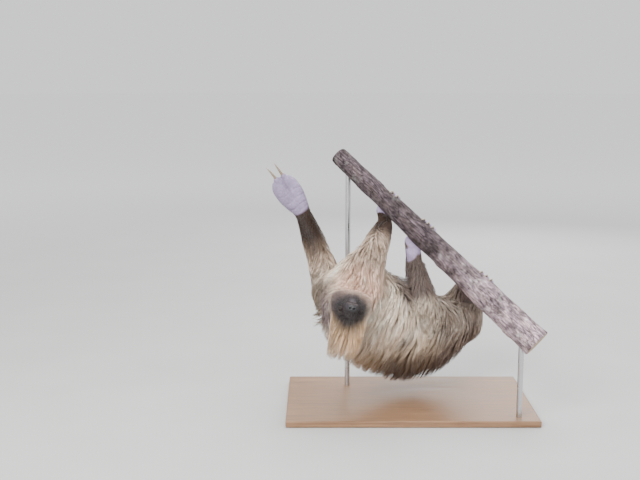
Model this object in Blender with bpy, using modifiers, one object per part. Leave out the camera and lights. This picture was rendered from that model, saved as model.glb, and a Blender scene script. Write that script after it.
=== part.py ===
"""A two-toed sloth hanging under a cut length of branch, on a plain display stand.

Metres, +Z up. The origin is the centre of the underside of the stand's base. The sloth hangs
belly up, with its rump towards +X and its face towards -Y. The solids reach out to the tips of
the coat. The body is modelled whole, then parted at its joints by thin gaps.
"""
import math

import bmesh
import bpy
from mathutils import Matrix, Vector

# ---- driving dimensions -------------------------------------------------------------------
GAP = 0.0004            # left between neighbouring solids
LIMB_REACH = 0.3        # half sizes of the blocks that part limbs and trunk, past all they cut
TRUNK_REACH = 0.6
HEAD_REACH = 0.16
PERCH_CLEARANCE = 0.0012
BASE_SIZE = (0.74, 0.42, 0.020)
BASE_BEVEL = 0.004
ROD_RADIUS = 0.008
ROD_SINK = 0.012        # how far a rod reaches into its blind hole in the base and the branch

PERCH_TOP = Vector((-0.214, 0.140, 0.757))
PERCH_FOOT = Vector((0.350, -0.195, 0.248))
PERCH_RADII = (0.026, 0.044)

VOXEL = 0.006           # grid that fuses the body's masses into one
BODY_FACES = 1525       # triangles the fused body keeps
REGION_VOXEL = 0.040    # the same for the shapes that part the limbs off

# Joint centres. "left" and "right" are the animal's own: its right side is towards -Y.
PELVIS = Vector((0.150, 0.123, 0.228))
SHOULDER = {"left": Vector((-0.238, 0.018, 0.350)), "right": Vector((-0.137, -0.064, 0.378))}
ELBOW = {"left": Vector((-0.273, 0.077, 0.455)), "right": Vector((-0.108, -0.058, 0.502))}
WRIST = {"left": Vector((-0.319, 0.018, 0.592)), "right": Vector((-0.070, 0.047, 0.560))}
HIP = {"left": Vector((0.170, 0.160, 0.244)), "right": Vector((0.137, 0.068, 0.238))}
KNEE = {"left": Vector((0.187, 0.086, 0.339)), "right": Vector((0.050, -0.011, 0.319))}
ANKLE = {"left": Vector((0.212, 0.000, 0.364)), "right": Vector((0.018, 0.040, 0.437))}
BREAST = Vector((-0.195, -0.035, 0.410))

HEAD_CENTRE = Vector((-0.183, -0.166, 0.349))
HEAD_FORWARD = Vector((0.02, -0.975, 0.19)).normalized()
HEAD_CROWN = Vector((-0.20, 0.0, -1.0))
EYE_RADIUS = 0.0082
EYE_PLACE = Vector((0.0275, 0.0475, 0.010))      # in the head's frame: side, forward, crown
NOSE_PLACE = Vector((0.0, 0.0885, 0.001))
NOSE_RADII = (0.0125, 0.0065, 0.0095)
EAR_PLACE = Vector((0.0590, -0.010, 0.002))
EAR_RADII = (0.005, 0.014, 0.016)

CLAW_RADIUS = {"hand": 0.0052, "foot": 0.0046}
CLAW_STEPS = 7
CLAW_SPREAD = 0.021     # between neighbouring claws
HAND_CLAWS = 2
FOOT_CLAWS = 3
FREE_CLAW_ARC = 0.080    # radius of the arc a free claw follows
FREE_CLAW_BEND = math.radians(58)
GRIP_CLEARANCE = 0.0016  # skin of a gripping hand to the bark

# Coat colours and finishes: base colour, roughness, metallic
COAT = (0.46, 0.36, 0.27)
COAT_DARK = (0.20, 0.14, 0.11)
BARE_SKIN = (0.50, 0.42, 0.43)
MUZZLE = (0.52, 0.37, 0.33)
FINISHES = {
    "coat": (COAT, 0.9, 0.0),
    "coat_dark": (COAT_DARK, 0.9, 0.0),
    "bare_skin": (BARE_SKIN, 0.7, 0.0),
    "muzzle_skin": (MUZZLE, 0.6, 0.0),
    "nose_skin": ((0.06, 0.04, 0.04), 0.35, 0.0),
    "eye": ((0.02, 0.012, 0.01), 0.05, 0.0),
    "claw": ((0.36, 0.29, 0.21), 0.35, 0.0),
    "bark": ((0.38, 0.32, 0.30), 0.9, 0.0),
    "stand_wood": ((0.23, 0.13, 0.07), 0.45, 0.0),
    "stand_steel": ((0.55, 0.55, 0.56), 0.3, 1.0),
}


# ---- scene and shape helpers ---------------------------------------------------------------
def clear_scene():
    for thing in list(bpy.data.objects):
        bpy.data.objects.remove(thing, do_unlink=True)


def new_collection(name):
    collection = bpy.data.collections.new(name)
    bpy.context.scene.collection.children.link(collection)
    return collection


def finish(name):
    """The Principled material of that name, made on first use."""
    material = bpy.data.materials.get(name)
    if material is None:
        colour, roughness, metallic = FINISHES[name]
        material = bpy.data.materials.new(name)
        material.use_nodes = True
        shader = material.node_tree.nodes["Principled BSDF"]
        shader.inputs["Base Color"].default_value = (*colour, 1.0)
        shader.inputs["Roughness"].default_value = roughness
        shader.inputs["Metallic"].default_value = metallic
    return material


def add_object(name, work, material, collection):
    """Turn the bmesh into an object of the given collection."""
    bmesh.ops.recalc_face_normals(work, faces=work.faces)
    mesh = bpy.data.meshes.new(name)
    work.to_mesh(mesh)
    work.free()
    mesh.shade_smooth()
    mesh.materials.append(finish(material))
    thing = bpy.data.objects.new(name, mesh)
    collection.objects.link(thing)
    return thing


def ellipsoid(work, centre, radii, turn=None, detail=24):
    """Add an ellipsoid: its radii lie along the columns of turn."""
    frame = (turn or Matrix.Identity(3)).to_4x4()
    place = Matrix.Translation(centre) @ frame @ Matrix.Diagonal((*radii, 1.0))
    bmesh.ops.create_uvsphere(work, u_segments=detail, v_segments=detail // 2, radius=1.0, matrix=place)


def smooth_path(points, steps):
    """Points of a Catmull-Rom curve through the given vectors, which may hold radii as well."""
    ends = [points[0] * 2 - points[1], *points, points[-1] * 2 - points[-2]]
    path = []
    for a, b, c, d in zip(ends, ends[1:], ends[2:], ends[3:]):
        for step in range(steps):
            t = step / steps
            path.append(0.5 * (b * 2 + (c - a) * t + (a * 2 - b * 5 + c * 4 - d) * t ** 2
                               + (b * 3 - a - c * 3 + d) * t ** 3))
    return path + [points[-1]]


def loft(work, stations, across, steps=5, sides=20, grow=0.0):
    """Add a closed loft of ellipses with rounded ends.

    A station is (centre, half size along across, half size square to it). The ellipses stand
    square to the path, and grow is added to every half size and past both ends.
    """
    rows = [Vector((*centre, half_a, half_b)) for centre, half_a, half_b in stations]
    rows = smooth_path(rows, steps)
    centres = [Vector(row[:3]) for row in rows]
    halves = [(max(row[3], 0.002) + grow, max(row[4], 0.002) + grow) for row in rows]
    rings = []
    for place, (centre, (half_a, half_b)) in enumerate(zip(centres, halves)):
        before, after = centres[max(place - 1, 0)], centres[min(place + 1, len(centres) - 1)]
        along = (after - before).normalized()
        if place in (0, len(centres) - 1):
            centre = centre + along * (grow if place else -grow)
        side = (across - along * across.dot(along)).normalized()
        up = along.cross(side)
        ring = []
        for corner in range(sides):
            turn = 2 * math.pi * corner / sides
            point = centre + side * (half_a * math.cos(turn)) + up * (half_b * math.sin(turn))
            ring.append(work.verts.new(point))
        rings.append(ring)
    for ring, following in zip(rings, rings[1:]):
        for corner in range(sides):
            after = (corner + 1) % sides
            work.faces.new((ring[corner], ring[after], following[after], following[corner]))
    work.faces.new(rings[0][::-1])
    work.faces.new(rings[-1])


def keep_largest(thing):
    """Drop the slivers that a cut leaves loose beside the main solid."""
    work = bmesh.new()
    work.from_mesh(thing.data)
    islands = []
    loose = set(work.verts)
    while loose:
        seed = loose.pop()
        island, front = {seed}, [seed]
        while front:
            for edge in front.pop().link_edges:
                for vert in edge.verts:
                    if vert not in island:
                        island.add(vert)
                        front.append(vert)
        loose -= island
        islands.append(island)
    islands.sort(key=len)
    for island in islands[:-1]:
        bmesh.ops.delete(work, geom=list(island), context="VERTS")
    work.to_mesh(thing.data)
    work.free()


def limb(work, joints, radii, flat=1.0, **options):
    """A loft of near-round sections from joint to joint, with rounded ends."""
    stations = [(joint, radius, radius * flat) for joint, radius in zip(joints, radii)]
    loft(work, stations, Vector((1.0, 0.35, 0.2)), **options)


# ---- the branch and its grip -----------------------------------------------------------------
PERCH_AXIS = (PERCH_FOOT - PERCH_TOP).normalized()
PERCH_UP = (Vector((0, 0, 1)) - PERCH_AXIS * PERCH_AXIS.z).normalized()
PERCH_FRONT = PERCH_AXIS.cross(PERCH_UP)         # towards -Y
PERCH_LENGTH = (PERCH_FOOT - PERCH_TOP).length


def perch_radius(along):
    """The branch tapers, with shallow swellings; along runs from 0 at its top end to 1."""
    top, foot = PERCH_RADII
    swelling = 0.0012 * math.sin(along * 19.0) + 0.0008 * math.sin(along * 43.0 + 1.0)
    return top + (foot - top) * along + swelling


def perch_point(along, angle, height):
    """A point at that height over the bark; angle 0 is on top and 90 degrees is on the -Y side."""
    reach = perch_radius(along) + height
    centre = PERCH_TOP.lerp(PERCH_FOOT, along)
    return centre + PERCH_UP * (reach * math.cos(angle)) + PERCH_FRONT * (reach * math.sin(angle))


def build_perch(collection):
    work = bmesh.new()
    count = 12
    stations = []
    for place in range(count + 1):
        along = place / count
        stations.append((PERCH_TOP.lerp(PERCH_FOOT, along), perch_radius(along), perch_radius(along)))
    loft(work, stations, PERCH_UP, steps=1, sides=14)
    return add_object("perch_branch", work, "bark", collection)


# Each gripping hand or foot: its place along the branch, and the angles of wrist and knuckles
GRIPS = {
    ("hand", "right"): (0.263, math.radians(-150), math.radians(-72)),
    ("foot", "right"): (0.430, math.radians(-156), math.radians(-72)),
    ("foot", "left"): (0.712, math.radians(-140), math.radians(-72)),
}
CLAW_SWEEP = math.radians(82)                    # how far round the branch a claw goes on
PALM_THICKNESS = {"hand": 0.0135, "foot": 0.0145}
PALM_WIDTH = {"hand": 0.024, "foot": 0.030}


def grip_path(kind, side, count=5):
    """Centres of a gripping palm, from the heel round the back of the branch to the knuckles."""
    along, start, end = GRIPS[kind, side]
    height = PALM_THICKNESS[kind] + GRIP_CLEARANCE
    path = []
    for step in range(count):
        share = step / (count - 1)
        lift = 0.006 * (1 - share) ** 2
        path.append(perch_point(along, start + (end - start) * share, height + lift))
    return path


# ---- the head's frame ------------------------------------------------------------------------
def head_frame():
    crown = (HEAD_CROWN - HEAD_FORWARD * HEAD_CROWN.dot(HEAD_FORWARD)).normalized()
    side = HEAD_FORWARD.cross(crown)              # the animal's right
    return Matrix((side, HEAD_FORWARD, crown)).transposed()


HEAD_TURN = head_frame()


def on_head(side, forward, crown):
    return HEAD_CENTRE + HEAD_TURN @ Vector((side, forward, crown))


# ---- the body's masses -------------------------------------------------------------------------
TRUNK = (                                        # centre, half width, half height
    (Vector((0.244, 0.155, 0.236)), 0.020, 0.020),
    (Vector((0.222, 0.148, 0.232)), 0.062, 0.060),
    (PELVIS, 0.092, 0.088),
    (Vector((0.086, 0.098, 0.199)), 0.099, 0.118),
    (Vector((0.027, 0.073, 0.193)), 0.105, 0.144),
    (Vector((-0.032, 0.047, 0.214)), 0.108, 0.151),
    (Vector((-0.091, 0.020, 0.252)), 0.108, 0.156),
    (Vector((-0.146, -0.005, 0.302)), 0.102, 0.148),
    (Vector((-0.191, -0.027, 0.341)), 0.089, 0.128),
    (Vector((-0.229, -0.045, 0.358)), 0.062, 0.090),
    (Vector((-0.250, -0.056, 0.362)), 0.021, 0.030),
)
NECK = (
    (Vector((-0.190, -0.030, 0.338)), 0.060, 0.070),
    (Vector((-0.210, -0.082, 0.336)), 0.058, 0.066),
    (Vector((-0.203, -0.130, 0.338)), 0.048, 0.054),
)
ACROSS_TRUNK = Vector((-0.3, 1.0, 0.0))
ACROSS_NECK = Vector((1.0, -0.2, 0.0))


def mirrored(place, side):
    """The place on the head's left or right."""
    return Vector((place.x if side == "right" else -place.x, place.y, place.z))


def add_head(work):
    ellipsoid(work, on_head(0, -0.014, 0.004), (0.062, 0.060, 0.056), HEAD_TURN)
    ellipsoid(work, on_head(0, 0.032, -0.003), (0.040, 0.034, 0.036), HEAD_TURN)
    for side in (-1, 1):
        ellipsoid(work, on_head(side * 0.030, 0.010, -0.014), (0.033, 0.034, 0.032), HEAD_TURN)
        ellipsoid(work, on_head(side * 0.024, 0.043, 0.022), (0.014, 0.010, 0.009), HEAD_TURN)
    muzzle = (
        (on_head(0, 0.030, -0.006), 0.030, 0.028),
        (on_head(0, 0.058, -0.006), 0.0225, 0.0205),
        (on_head(0, 0.078, -0.006), 0.0190, 0.0165),
        (on_head(0, 0.087, -0.006), 0.0135, 0.0120),
    )
    loft(work, muzzle, HEAD_TURN.col[0])
    jaw = (
        (on_head(0, 0.010, -0.028), 0.026, 0.016),
        (on_head(0, 0.050, -0.0235), 0.0165, 0.0115),
        (on_head(0, 0.076, -0.0185), 0.0110, 0.0070),
    )
    loft(work, jaw, HEAD_TURN.col[0])
    # the long hair of crown and nape, hanging
    crown_hair = (
        (on_head(0, -0.018, 0.010), 0.048, 0.048),
        (on_head(0.000, -0.022, 0.050), 0.058, 0.054),
        (on_head(0.000, -0.026, 0.095), 0.056, 0.050),
        (on_head(-0.006, -0.026, 0.134), 0.050, 0.038),
        (on_head(-0.010, -0.026, 0.160), 0.034, 0.022),
    )
    loft(work, crown_hair, HEAD_TURN.col[0])


def add_arms(work):
    for side in ("left", "right"):
        ellipsoid(work, SHOULDER[side], (0.060, 0.056, 0.066))
        limb(work, (SHOULDER[side], ELBOW[side]), (0.054, 0.041))
        mid = ELBOW[side].lerp(WRIST[side], 0.35)
        limb(work, (ELBOW[side], mid, WRIST[side]), (0.042, 0.038, 0.024))
        ellipsoid(work, ELBOW[side], (0.043, 0.043, 0.043))
    # the breast's fold and its hair, up to the right elbow
    limb(work, (BREAST, ELBOW["right"]), (0.047, 0.034))
    # hair hanging from the left shoulder
    ellipsoid(work, SHOULDER["left"] + Vector((0.000, 0.010, -0.068)), (0.047, 0.045, 0.086))
    # the nape's hair, hanging below the neck
    ellipsoid(work, NECK[1][0] + Vector((0.000, 0.004, -0.062)), (0.056, 0.050, 0.082))
    # the gripping right hand
    path = grip_path("hand", "right")
    stations = [(WRIST["right"], 0.024, 0.022)]
    stations += [(point, PALM_WIDTH["hand"], PALM_THICKNESS["hand"]) for point in path]
    loft(work, stations, PERCH_AXIS)
    # the free left hand, palm towards -Y
    stations = [(FREE_HAND[0], 0.025, 0.022), (FREE_HAND[1], 0.039, 0.021),
                (FREE_HAND[2], 0.0430, 0.0185), (FREE_HAND[3], 0.034, 0.0140)]
    loft(work, stations, FREE_HAND_ACROSS)


FREE_HAND = (WRIST["left"], Vector((-0.346, 0.007, 0.634)), Vector((-0.374, -0.001, 0.675)),
             Vector((-0.391, -0.007, 0.705)))
FREE_HAND_ACROSS = Vector((0.85, 0.0, 0.52)).normalized()


def add_legs(work):
    for side in ("left", "right"):
        ellipsoid(work, HIP[side], (0.068, 0.062, 0.068))
        limb(work, (HIP[side], HIP[side].lerp(KNEE[side], 0.5), KNEE[side]), (0.064, 0.055, 0.042))
        ellipsoid(work, KNEE[side], (0.042, 0.042, 0.042))
        mid = KNEE[side].lerp(ANKLE[side], 0.4)
        limb(work, (KNEE[side], mid, ANKLE[side]), (0.042, 0.041, 0.036))
        path = grip_path("foot", side)
        stations = [(ANKLE[side], 0.035, 0.030)]
        stations += [(point, PALM_WIDTH["foot"], PALM_THICKNESS["foot"]) for point in path]
        loft(work, stations, PERCH_AXIS)


def build_body(collection):
    """All the masses in one mesh, fused, smoothed and thinned."""
    work = bmesh.new()
    loft(work, TRUNK, ACROSS_TRUNK, sides=28)
    loft(work, NECK, ACROSS_NECK, sides=24)
    add_head(work)
    add_arms(work)
    add_legs(work)
    body = add_object("body", work, "coat", collection)
    fuse = body.modifiers.new("fuse", "REMESH")
    fuse.mode = "VOXEL"
    fuse.voxel_size = VOXEL
    soften = body.modifiers.new("soften", "SMOOTH")
    soften.factor = 0.5
    soften.iterations = 5
    apply_modifiers(body)
    thin = body.modifiers.new("thin", "DECIMATE")
    thin.ratio = BODY_FACES / (2 * len(body.data.polygons))
    apply_modifiers(body)
    return body


def apply_modifiers(thing):
    """Replace the mesh by its evaluated form, with its triangles kept."""
    graph = bpy.context.evaluated_depsgraph_get()
    mesh = bpy.data.meshes.new_from_object(thing.evaluated_get(graph), depsgraph=graph)
    thing.modifiers.clear()
    old = thing.data
    thing.data = mesh
    bpy.data.meshes.remove(old)
    mesh.name = thing.name


# ---- parting the body ------------------------------------------------------------------------
def boolean(thing, cutter, operation):
    step = thing.modifiers.new(operation.lower(), "BOOLEAN")
    step.operation = operation
    step.object = cutter
    step.solver = "EXACT"
    apply_modifiers(thing)


def as_cutter(thing):
    thing.hide_render = True
    thing.display_type = "WIRE"
    return thing


def part_off(body, name, chain, parts, cutters):
    """Move what lies in a chain of balls to a new object, leaving GAP between it and the body."""
    region = ball_region(f"{name}_region", chain, cutters)
    piece = bpy.data.objects.new(name, body.data.copy())
    parts.objects.link(piece)
    boolean(piece, region, "INTERSECT")
    carve(body, region)
    return piece


def ball_region(name, chain, collection):
    """Balls of the given (centre, radius), joined in a row and fused into one smooth cutter."""
    work = bmesh.new()
    rows = smooth_path([Vector((*centre, radius)) for centre, radius in chain], 5)
    for row in rows:
        ellipsoid(work, Vector(row[:3]), (row[3],) * 3, detail=16)
    region = as_cutter(add_object(name, work, "coat", collection))
    fuse = region.modifiers.new("fuse", "REMESH")
    fuse.mode = "VOXEL"
    fuse.voxel_size = REGION_VOXEL
    soften = region.modifiers.new("soften", "SMOOTH")
    soften.iterations = 4
    region.modifiers.new("split", "TRIANGULATE")
    apply_modifiers(region)
    return region


def slice_off(body, names, centre, normal, reach):
    """Part the object at a plane by a thin gap; the side the normal points to takes the second name."""
    pieces = []
    for name, way in zip(names, (-1, 1)):
        work = bmesh.new()
        turn = (normal * way).to_track_quat("Z", "Y").to_matrix().to_4x4()
        middle = centre + normal.normalized() * (way * (reach + GAP / 2))
        bmesh.ops.create_cone(work, cap_ends=True, segments=24, radius1=reach, radius2=reach,
                              depth=2 * reach, matrix=Matrix.Translation(middle) @ turn)
        cutter = as_cutter(add_object(f"{name}_half", work, "coat", body.users_collection[0]))
        piece = bpy.data.objects.new(name, body.data.copy())
        body.users_collection[0].objects.link(piece)
        boolean(piece, cutter, "INTERSECT")
        bpy.data.objects.remove(cutter, do_unlink=True)
        pieces.append(piece)
    bpy.data.objects.remove(body, do_unlink=True)
    return pieces


def carve(thing, cutter, grow=GAP):
    """Cut a seat for the cutter, wider than it by the gap."""
    wide = cutter.copy()
    wide.data = cutter.data.copy()
    cutter.users_collection[0].objects.link(wide)
    swell = wide.modifiers.new("swell", "DISPLACE")
    swell.strength = grow
    swell.mid_level = 0.0
    apply_modifiers(wide)
    boolean(thing, wide, "DIFFERENCE")
    bpy.data.objects.remove(wide, do_unlink=True)


def claw(name, kind, points, collection):
    """A horn claw: a curve whose bevel narrows to a point."""
    curve = bpy.data.curves.new(name, "CURVE")
    curve.dimensions = "3D"
    curve.bevel_depth = CLAW_RADIUS[kind]
    curve.bevel_resolution = 1
    curve.use_fill_caps = True
    spline = curve.splines.new("POLY")
    spline.points.add(len(points) - 1)
    for place, point in enumerate(points):
        spline.points[place].co = (*point, 1.0)
        share = place / (len(points) - 1)
        spline.points[place].radius = claw_taper(share)
    guide = bpy.data.objects.new(f"{name}_curve", curve)
    collection.objects.link(guide)
    graph = bpy.context.evaluated_depsgraph_get()
    mesh = bpy.data.meshes.new_from_object(guide.evaluated_get(graph), depsgraph=graph)
    bpy.data.objects.remove(guide, do_unlink=True)
    work = bmesh.new()
    work.from_mesh(mesh)
    bmesh.ops.remove_doubles(work, verts=work.verts, dist=0.00005)
    bpy.data.meshes.remove(mesh)
    return add_object(name, work, "claw", collection)


def claw_taper(share):
    return max(1.0 - share ** 1.6, 0.0) * 0.88 + 0.12


def gripping_claws(kind, side, count, body_parts, collection):
    """Claws that go on round the branch from the knuckles."""
    along, _, knuckles = GRIPS[kind, side]
    length = PERCH_LENGTH
    for number in range(count):
        offset = (number - (count - 1) / 2) * CLAW_SPREAD * (0.85 if kind == "foot" else 1.0)
        points = []
        start_height = PALM_THICKNESS[kind] * 0.9 + GRIP_CLEARANCE
        for step in range(CLAW_STEPS + 1):
            share = step / CLAW_STEPS
            angle = knuckles + CLAW_SWEEP * (share * 1.18 - 0.18)
            sink = CLAW_RADIUS[kind] * claw_taper(share) + 0.0010
            ease = max(1 - share / 0.45, 0.0) ** 2
            height = sink + (start_height - sink) * ease
            points.append(perch_point(along + offset / length, angle, height))
        name = f"claw_{kind}_{side}_{number + 1}"
        piece = claw(name, kind, points, collection)
        for part in body_parts:
            carve(part, piece)


def free_claws(hand, collection):
    """The two claws of the free hand, curving towards its palm."""
    heading = (FREE_HAND[3] - FREE_HAND[1]).normalized()
    palm_way = heading.cross(FREE_HAND_ACROSS)
    palm_way = palm_way if palm_way.y < 0 else -palm_way
    for number in range(HAND_CLAWS):
        offset = (number - (HAND_CLAWS - 1) / 2) * CLAW_SPREAD
        root = FREE_HAND[3] + FREE_HAND_ACROSS * offset - heading * 0.016
        points = []
        for step in range(CLAW_STEPS + 1):
            bend = FREE_CLAW_BEND * step / CLAW_STEPS
            reach = heading * (FREE_CLAW_ARC * math.sin(bend))
            curl = palm_way * (FREE_CLAW_ARC * (1 - math.cos(bend)))
            points.append(root + reach + curl + FREE_HAND_ACROSS * (offset * 0.25 * step / CLAW_STEPS))
        piece = claw(f"claw_hand_left_{number + 1}", "hand", points, collection)
        carve(hand, piece)


# ---- stand -----------------------------------------------------------------------------------
ROD_ALONG = {"rear": 0.055, "front": 0.930}      # where each rod meets the branch


def build_stand(perch, collection):
    length, width, thickness = BASE_SIZE
    work = bmesh.new()
    bmesh.ops.create_cube(work, size=1.0, matrix=Matrix.Translation((0, 0, thickness / 2))
                          @ Matrix.Diagonal((length, width, thickness, 1.0)))
    base = add_object("stand_base", work, "stand_wood", collection)
    base.data.shade_flat()
    edge = base.modifiers.new("edge", "BEVEL")
    edge.width = BASE_BEVEL
    edge.segments = 2
    apply_modifiers(base)
    for name, along in ROD_ALONG.items():
        head = PERCH_TOP.lerp(PERCH_FOOT, along)
        work = bmesh.new()
        low, high = thickness - ROD_SINK, head.z - perch_radius(along) * 0.35
        middle = Matrix.Translation((head.x, head.y, (low + high) / 2))
        bmesh.ops.create_cone(work, cap_ends=True, segments=12, radius1=ROD_RADIUS, radius2=ROD_RADIUS,
                              depth=high - low, matrix=middle)
        rod = add_object(f"stand_rod_{name}", work, "stand_steel", collection)
        for part in (base, perch):
            carve(part, rod)
        rod.data.set_sharp_from_angle(angle=math.radians(40))


# ---- assembly ----------------------------------------------------------------------------------
def repaint(thing, material):
    thing.data.materials.clear()
    thing.data.materials.append(finish(material))


def build_head_parts(head, parts):
    """Eyes, nose and ears, each seated in the head."""
    cranium, muzzle = slice_off(head, ("head_cranium", "head_muzzle"), on_head(0, 0.064, 0),
                                HEAD_FORWARD, HEAD_REACH)
    for side in ("left", "right"):
        place = mirrored(EYE_PLACE, side)
        work = bmesh.new()
        ellipsoid(work, on_head(*place), (EYE_RADIUS,) * 3, HEAD_TURN, detail=14)
        eye = add_object(f"eye_{side}", work, "eye", parts)
        carve(cranium, eye)
        carve(muzzle, eye)
        place = mirrored(EAR_PLACE, side)
        work = bmesh.new()
        ellipsoid(work, on_head(*place), EAR_RADII, HEAD_TURN, detail=10)
        ear = add_object(f"ear_{side}", work, "coat", parts)
        carve(cranium, ear)
    work = bmesh.new()
    ellipsoid(work, on_head(*NOSE_PLACE), NOSE_RADII, HEAD_TURN, detail=12)
    nose = add_object("nose", work, "nose_skin", parts)
    carve(muzzle, nose)
    repaint(muzzle, "muzzle_skin")


def head_chain():
    return ((on_head(0, 0.020, -0.020), 0.085), (on_head(0, 0.015, 0.030), 0.088),
            (on_head(0, 0.010, 0.090), 0.080), (on_head(0, 0.010, 0.160), 0.060))


def neck_chain():
    return [(centre, half_width + 0.012) for centre, half_width, _ in NECK[1:]]


def arm_chain(side):
    chain = [(SHOULDER[side], 0.062), (ELBOW[side], 0.068), (WRIST[side], 0.055)]
    if side == "left":
        return chain + [(FREE_HAND[3] + (FREE_HAND[3] - WRIST[side]) * 0.3, 0.050)]
    return chain + [(point, 0.045) for point in grip_path("hand", side)[2::2]]


def leg_chain(side):
    thigh = HIP[side].lerp(KNEE[side], 0.5)
    chain = [(HIP[side], 0.070), (thigh, 0.070), (KNEE[side], 0.062), (ANKLE[side], 0.050)]
    return chain + [(point, 0.045) for point in grip_path("foot", side)[2::2]]


def build_arm(arm, side, parts):
    """Part the arm at elbow and wrist, and give the hand its claws."""
    shoulder, elbow, wrist = SHOULDER[side], ELBOW[side], WRIST[side]
    _, rest = slice_off(arm, (f"upper_arm_{side}", "rest"), elbow, wrist - shoulder, LIMB_REACH)
    forearm, hand = slice_off(rest, (f"forearm_{side}", f"hand_{side}"), wrist, wrist - elbow, LIMB_REACH)
    repaint(forearm, "coat_dark")
    repaint(hand, "bare_skin")
    if side == "left":
        free_claws(hand, parts)
    else:
        gripping_claws("hand", side, HAND_CLAWS, [hand], parts)


def build_leg(leg, side, parts):
    """Part the leg at knee and ankle, and give the foot its claws."""
    hip, knee, ankle = HIP[side], KNEE[side], ANKLE[side]
    _, rest = slice_off(leg, (f"thigh_{side}", "rest"), knee, ankle - hip, LIMB_REACH)
    shank, foot = slice_off(rest, (f"shank_{side}", f"foot_{side}"), ankle, ankle - knee, LIMB_REACH)
    repaint(shank, "coat_dark")
    repaint(foot, "bare_skin")
    gripping_claws("foot", side, FOOT_CLAWS, [foot], parts)


def build_trunk(body):
    """Part what is left of the body into chest, loin and rump."""
    _, rest = slice_off(body, ("trunk_chest", "rest"), TRUNK[5][0].lerp(TRUNK[6][0], 0.5),
                        TRUNK[5][0] - TRUNK[7][0], TRUNK_REACH)
    slice_off(rest, ("trunk_loin", "trunk_rump"), TRUNK[2][0].lerp(TRUNK[3][0], 0.6),
              TRUNK[2][0] - TRUNK[4][0], TRUNK_REACH)


def build_sloth(parts, cutters, perch):
    body = build_body(parts)
    carve(body, perch, PERCH_CLEARANCE)
    build_head_parts(part_off(body, "head", head_chain(), parts, cutters), parts)
    part_off(body, "neck", neck_chain(), parts, cutters)
    for side in ("left", "right"):
        build_arm(part_off(body, f"arm_{side}", arm_chain(side), parts, cutters), side, parts)
        build_leg(part_off(body, f"leg_{side}", leg_chain(side), parts, cutters), side, parts)
    build_trunk(body)
    for thing in parts.objects:
        keep_largest(thing)


def main():
    clear_scene()
    parts = new_collection("two_toed_sloth")
    cutters = new_collection("cutters")
    perch = build_perch(parts)
    build_sloth(parts, cutters, perch)
    build_stand(perch, parts)


main()
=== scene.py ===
"""Looks of the life-size two-toed sloth that hangs under a cut branch on a plain display stand.

Metres, +Z up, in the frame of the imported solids. The sloth hangs belly up: its back faces the
floor, its rump is towards +X and its face towards -Y. "left" and "right" are the animal's own.
One skin stands for the flesh solids, and a coat of solid locks grows on it out to their surface.
"""
import math

import bmesh
import bpy
import numpy as np
from mathutils import Matrix, Vector
from mathutils.bvhtree import BVHTree
from mathutils.kdtree import KDTree


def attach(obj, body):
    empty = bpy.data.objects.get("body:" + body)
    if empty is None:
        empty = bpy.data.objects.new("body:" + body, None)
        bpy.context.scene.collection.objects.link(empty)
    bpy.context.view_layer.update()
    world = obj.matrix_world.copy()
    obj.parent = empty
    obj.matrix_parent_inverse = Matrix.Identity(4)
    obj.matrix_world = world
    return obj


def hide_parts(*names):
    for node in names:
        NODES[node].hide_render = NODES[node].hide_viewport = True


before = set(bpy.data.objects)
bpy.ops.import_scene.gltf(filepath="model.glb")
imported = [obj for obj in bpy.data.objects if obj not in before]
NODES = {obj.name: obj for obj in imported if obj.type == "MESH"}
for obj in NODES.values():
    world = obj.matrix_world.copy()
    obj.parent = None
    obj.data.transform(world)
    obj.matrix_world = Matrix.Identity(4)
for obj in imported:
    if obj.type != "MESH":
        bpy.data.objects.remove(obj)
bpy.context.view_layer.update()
SIDES = ("left", "right")

# ---- view ----
AIM = Vector((-0.270, 0.0, 0.514))
AIM_DISTANCE = 2.912
AIM_RISE = math.radians(10)
SENSOR = 36.0
LENS = 54.5
LIT = (0.0, 0.0, 0.35)    # what the lamps point at
LAMPS = (                 # name, place, size, power, colour
    ("key", (-1.5, -2.5, 2.4), 1.8, 180.0, (1.0, 0.985, 0.965)),
    ("fill", (2.6, -1.8, 1.4), 2.4, 62.0, (0.96, 0.975, 1.0)),
    ("top", (0.2, 0.6, 3.0), 2.4, 82.0, (1.0, 1.0, 1.0)),
    ("rear", (0.8, 2.8, 1.8), 2.2, 46.0, (0.98, 0.99, 1.0)),
)
SKY = (0.93, 0.935, 0.94, 1.0)
SKY_STRENGTH = 1.15
FLOOR_RADIUS = 40.0

# ---- the joints, as in the solids ----
SHOULDER = {"left": Vector((-0.238, 0.018, 0.350)), "right": Vector((-0.137, -0.064, 0.378))}
ELBOW = {"left": Vector((-0.273, 0.077, 0.455)), "right": Vector((-0.108, -0.058, 0.502))}
WRIST = {"left": Vector((-0.319, 0.018, 0.592)), "right": Vector((-0.070, 0.047, 0.560))}
HIP = {"left": Vector((0.170, 0.160, 0.244)), "right": Vector((0.137, 0.068, 0.238))}
KNEE = {"left": Vector((0.187, 0.086, 0.339)), "right": Vector((0.050, -0.011, 0.319))}
ANKLE = {"left": Vector((0.212, 0.000, 0.364)), "right": Vector((0.018, 0.040, 0.437))}
FREE_HAND = (WRIST["left"], Vector((-0.346, 0.007, 0.634)), Vector((-0.374, -0.001, 0.675)),
             Vector((-0.391, -0.007, 0.705)))
FREE_HAND_ACROSS = Vector((0.85, 0.0, 0.52)).normalized()
FREE_HAND_REACH = 0.165   # from the wrist past the ends of the digits
BREAST = Vector((-0.195, -0.035, 0.410))

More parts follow.
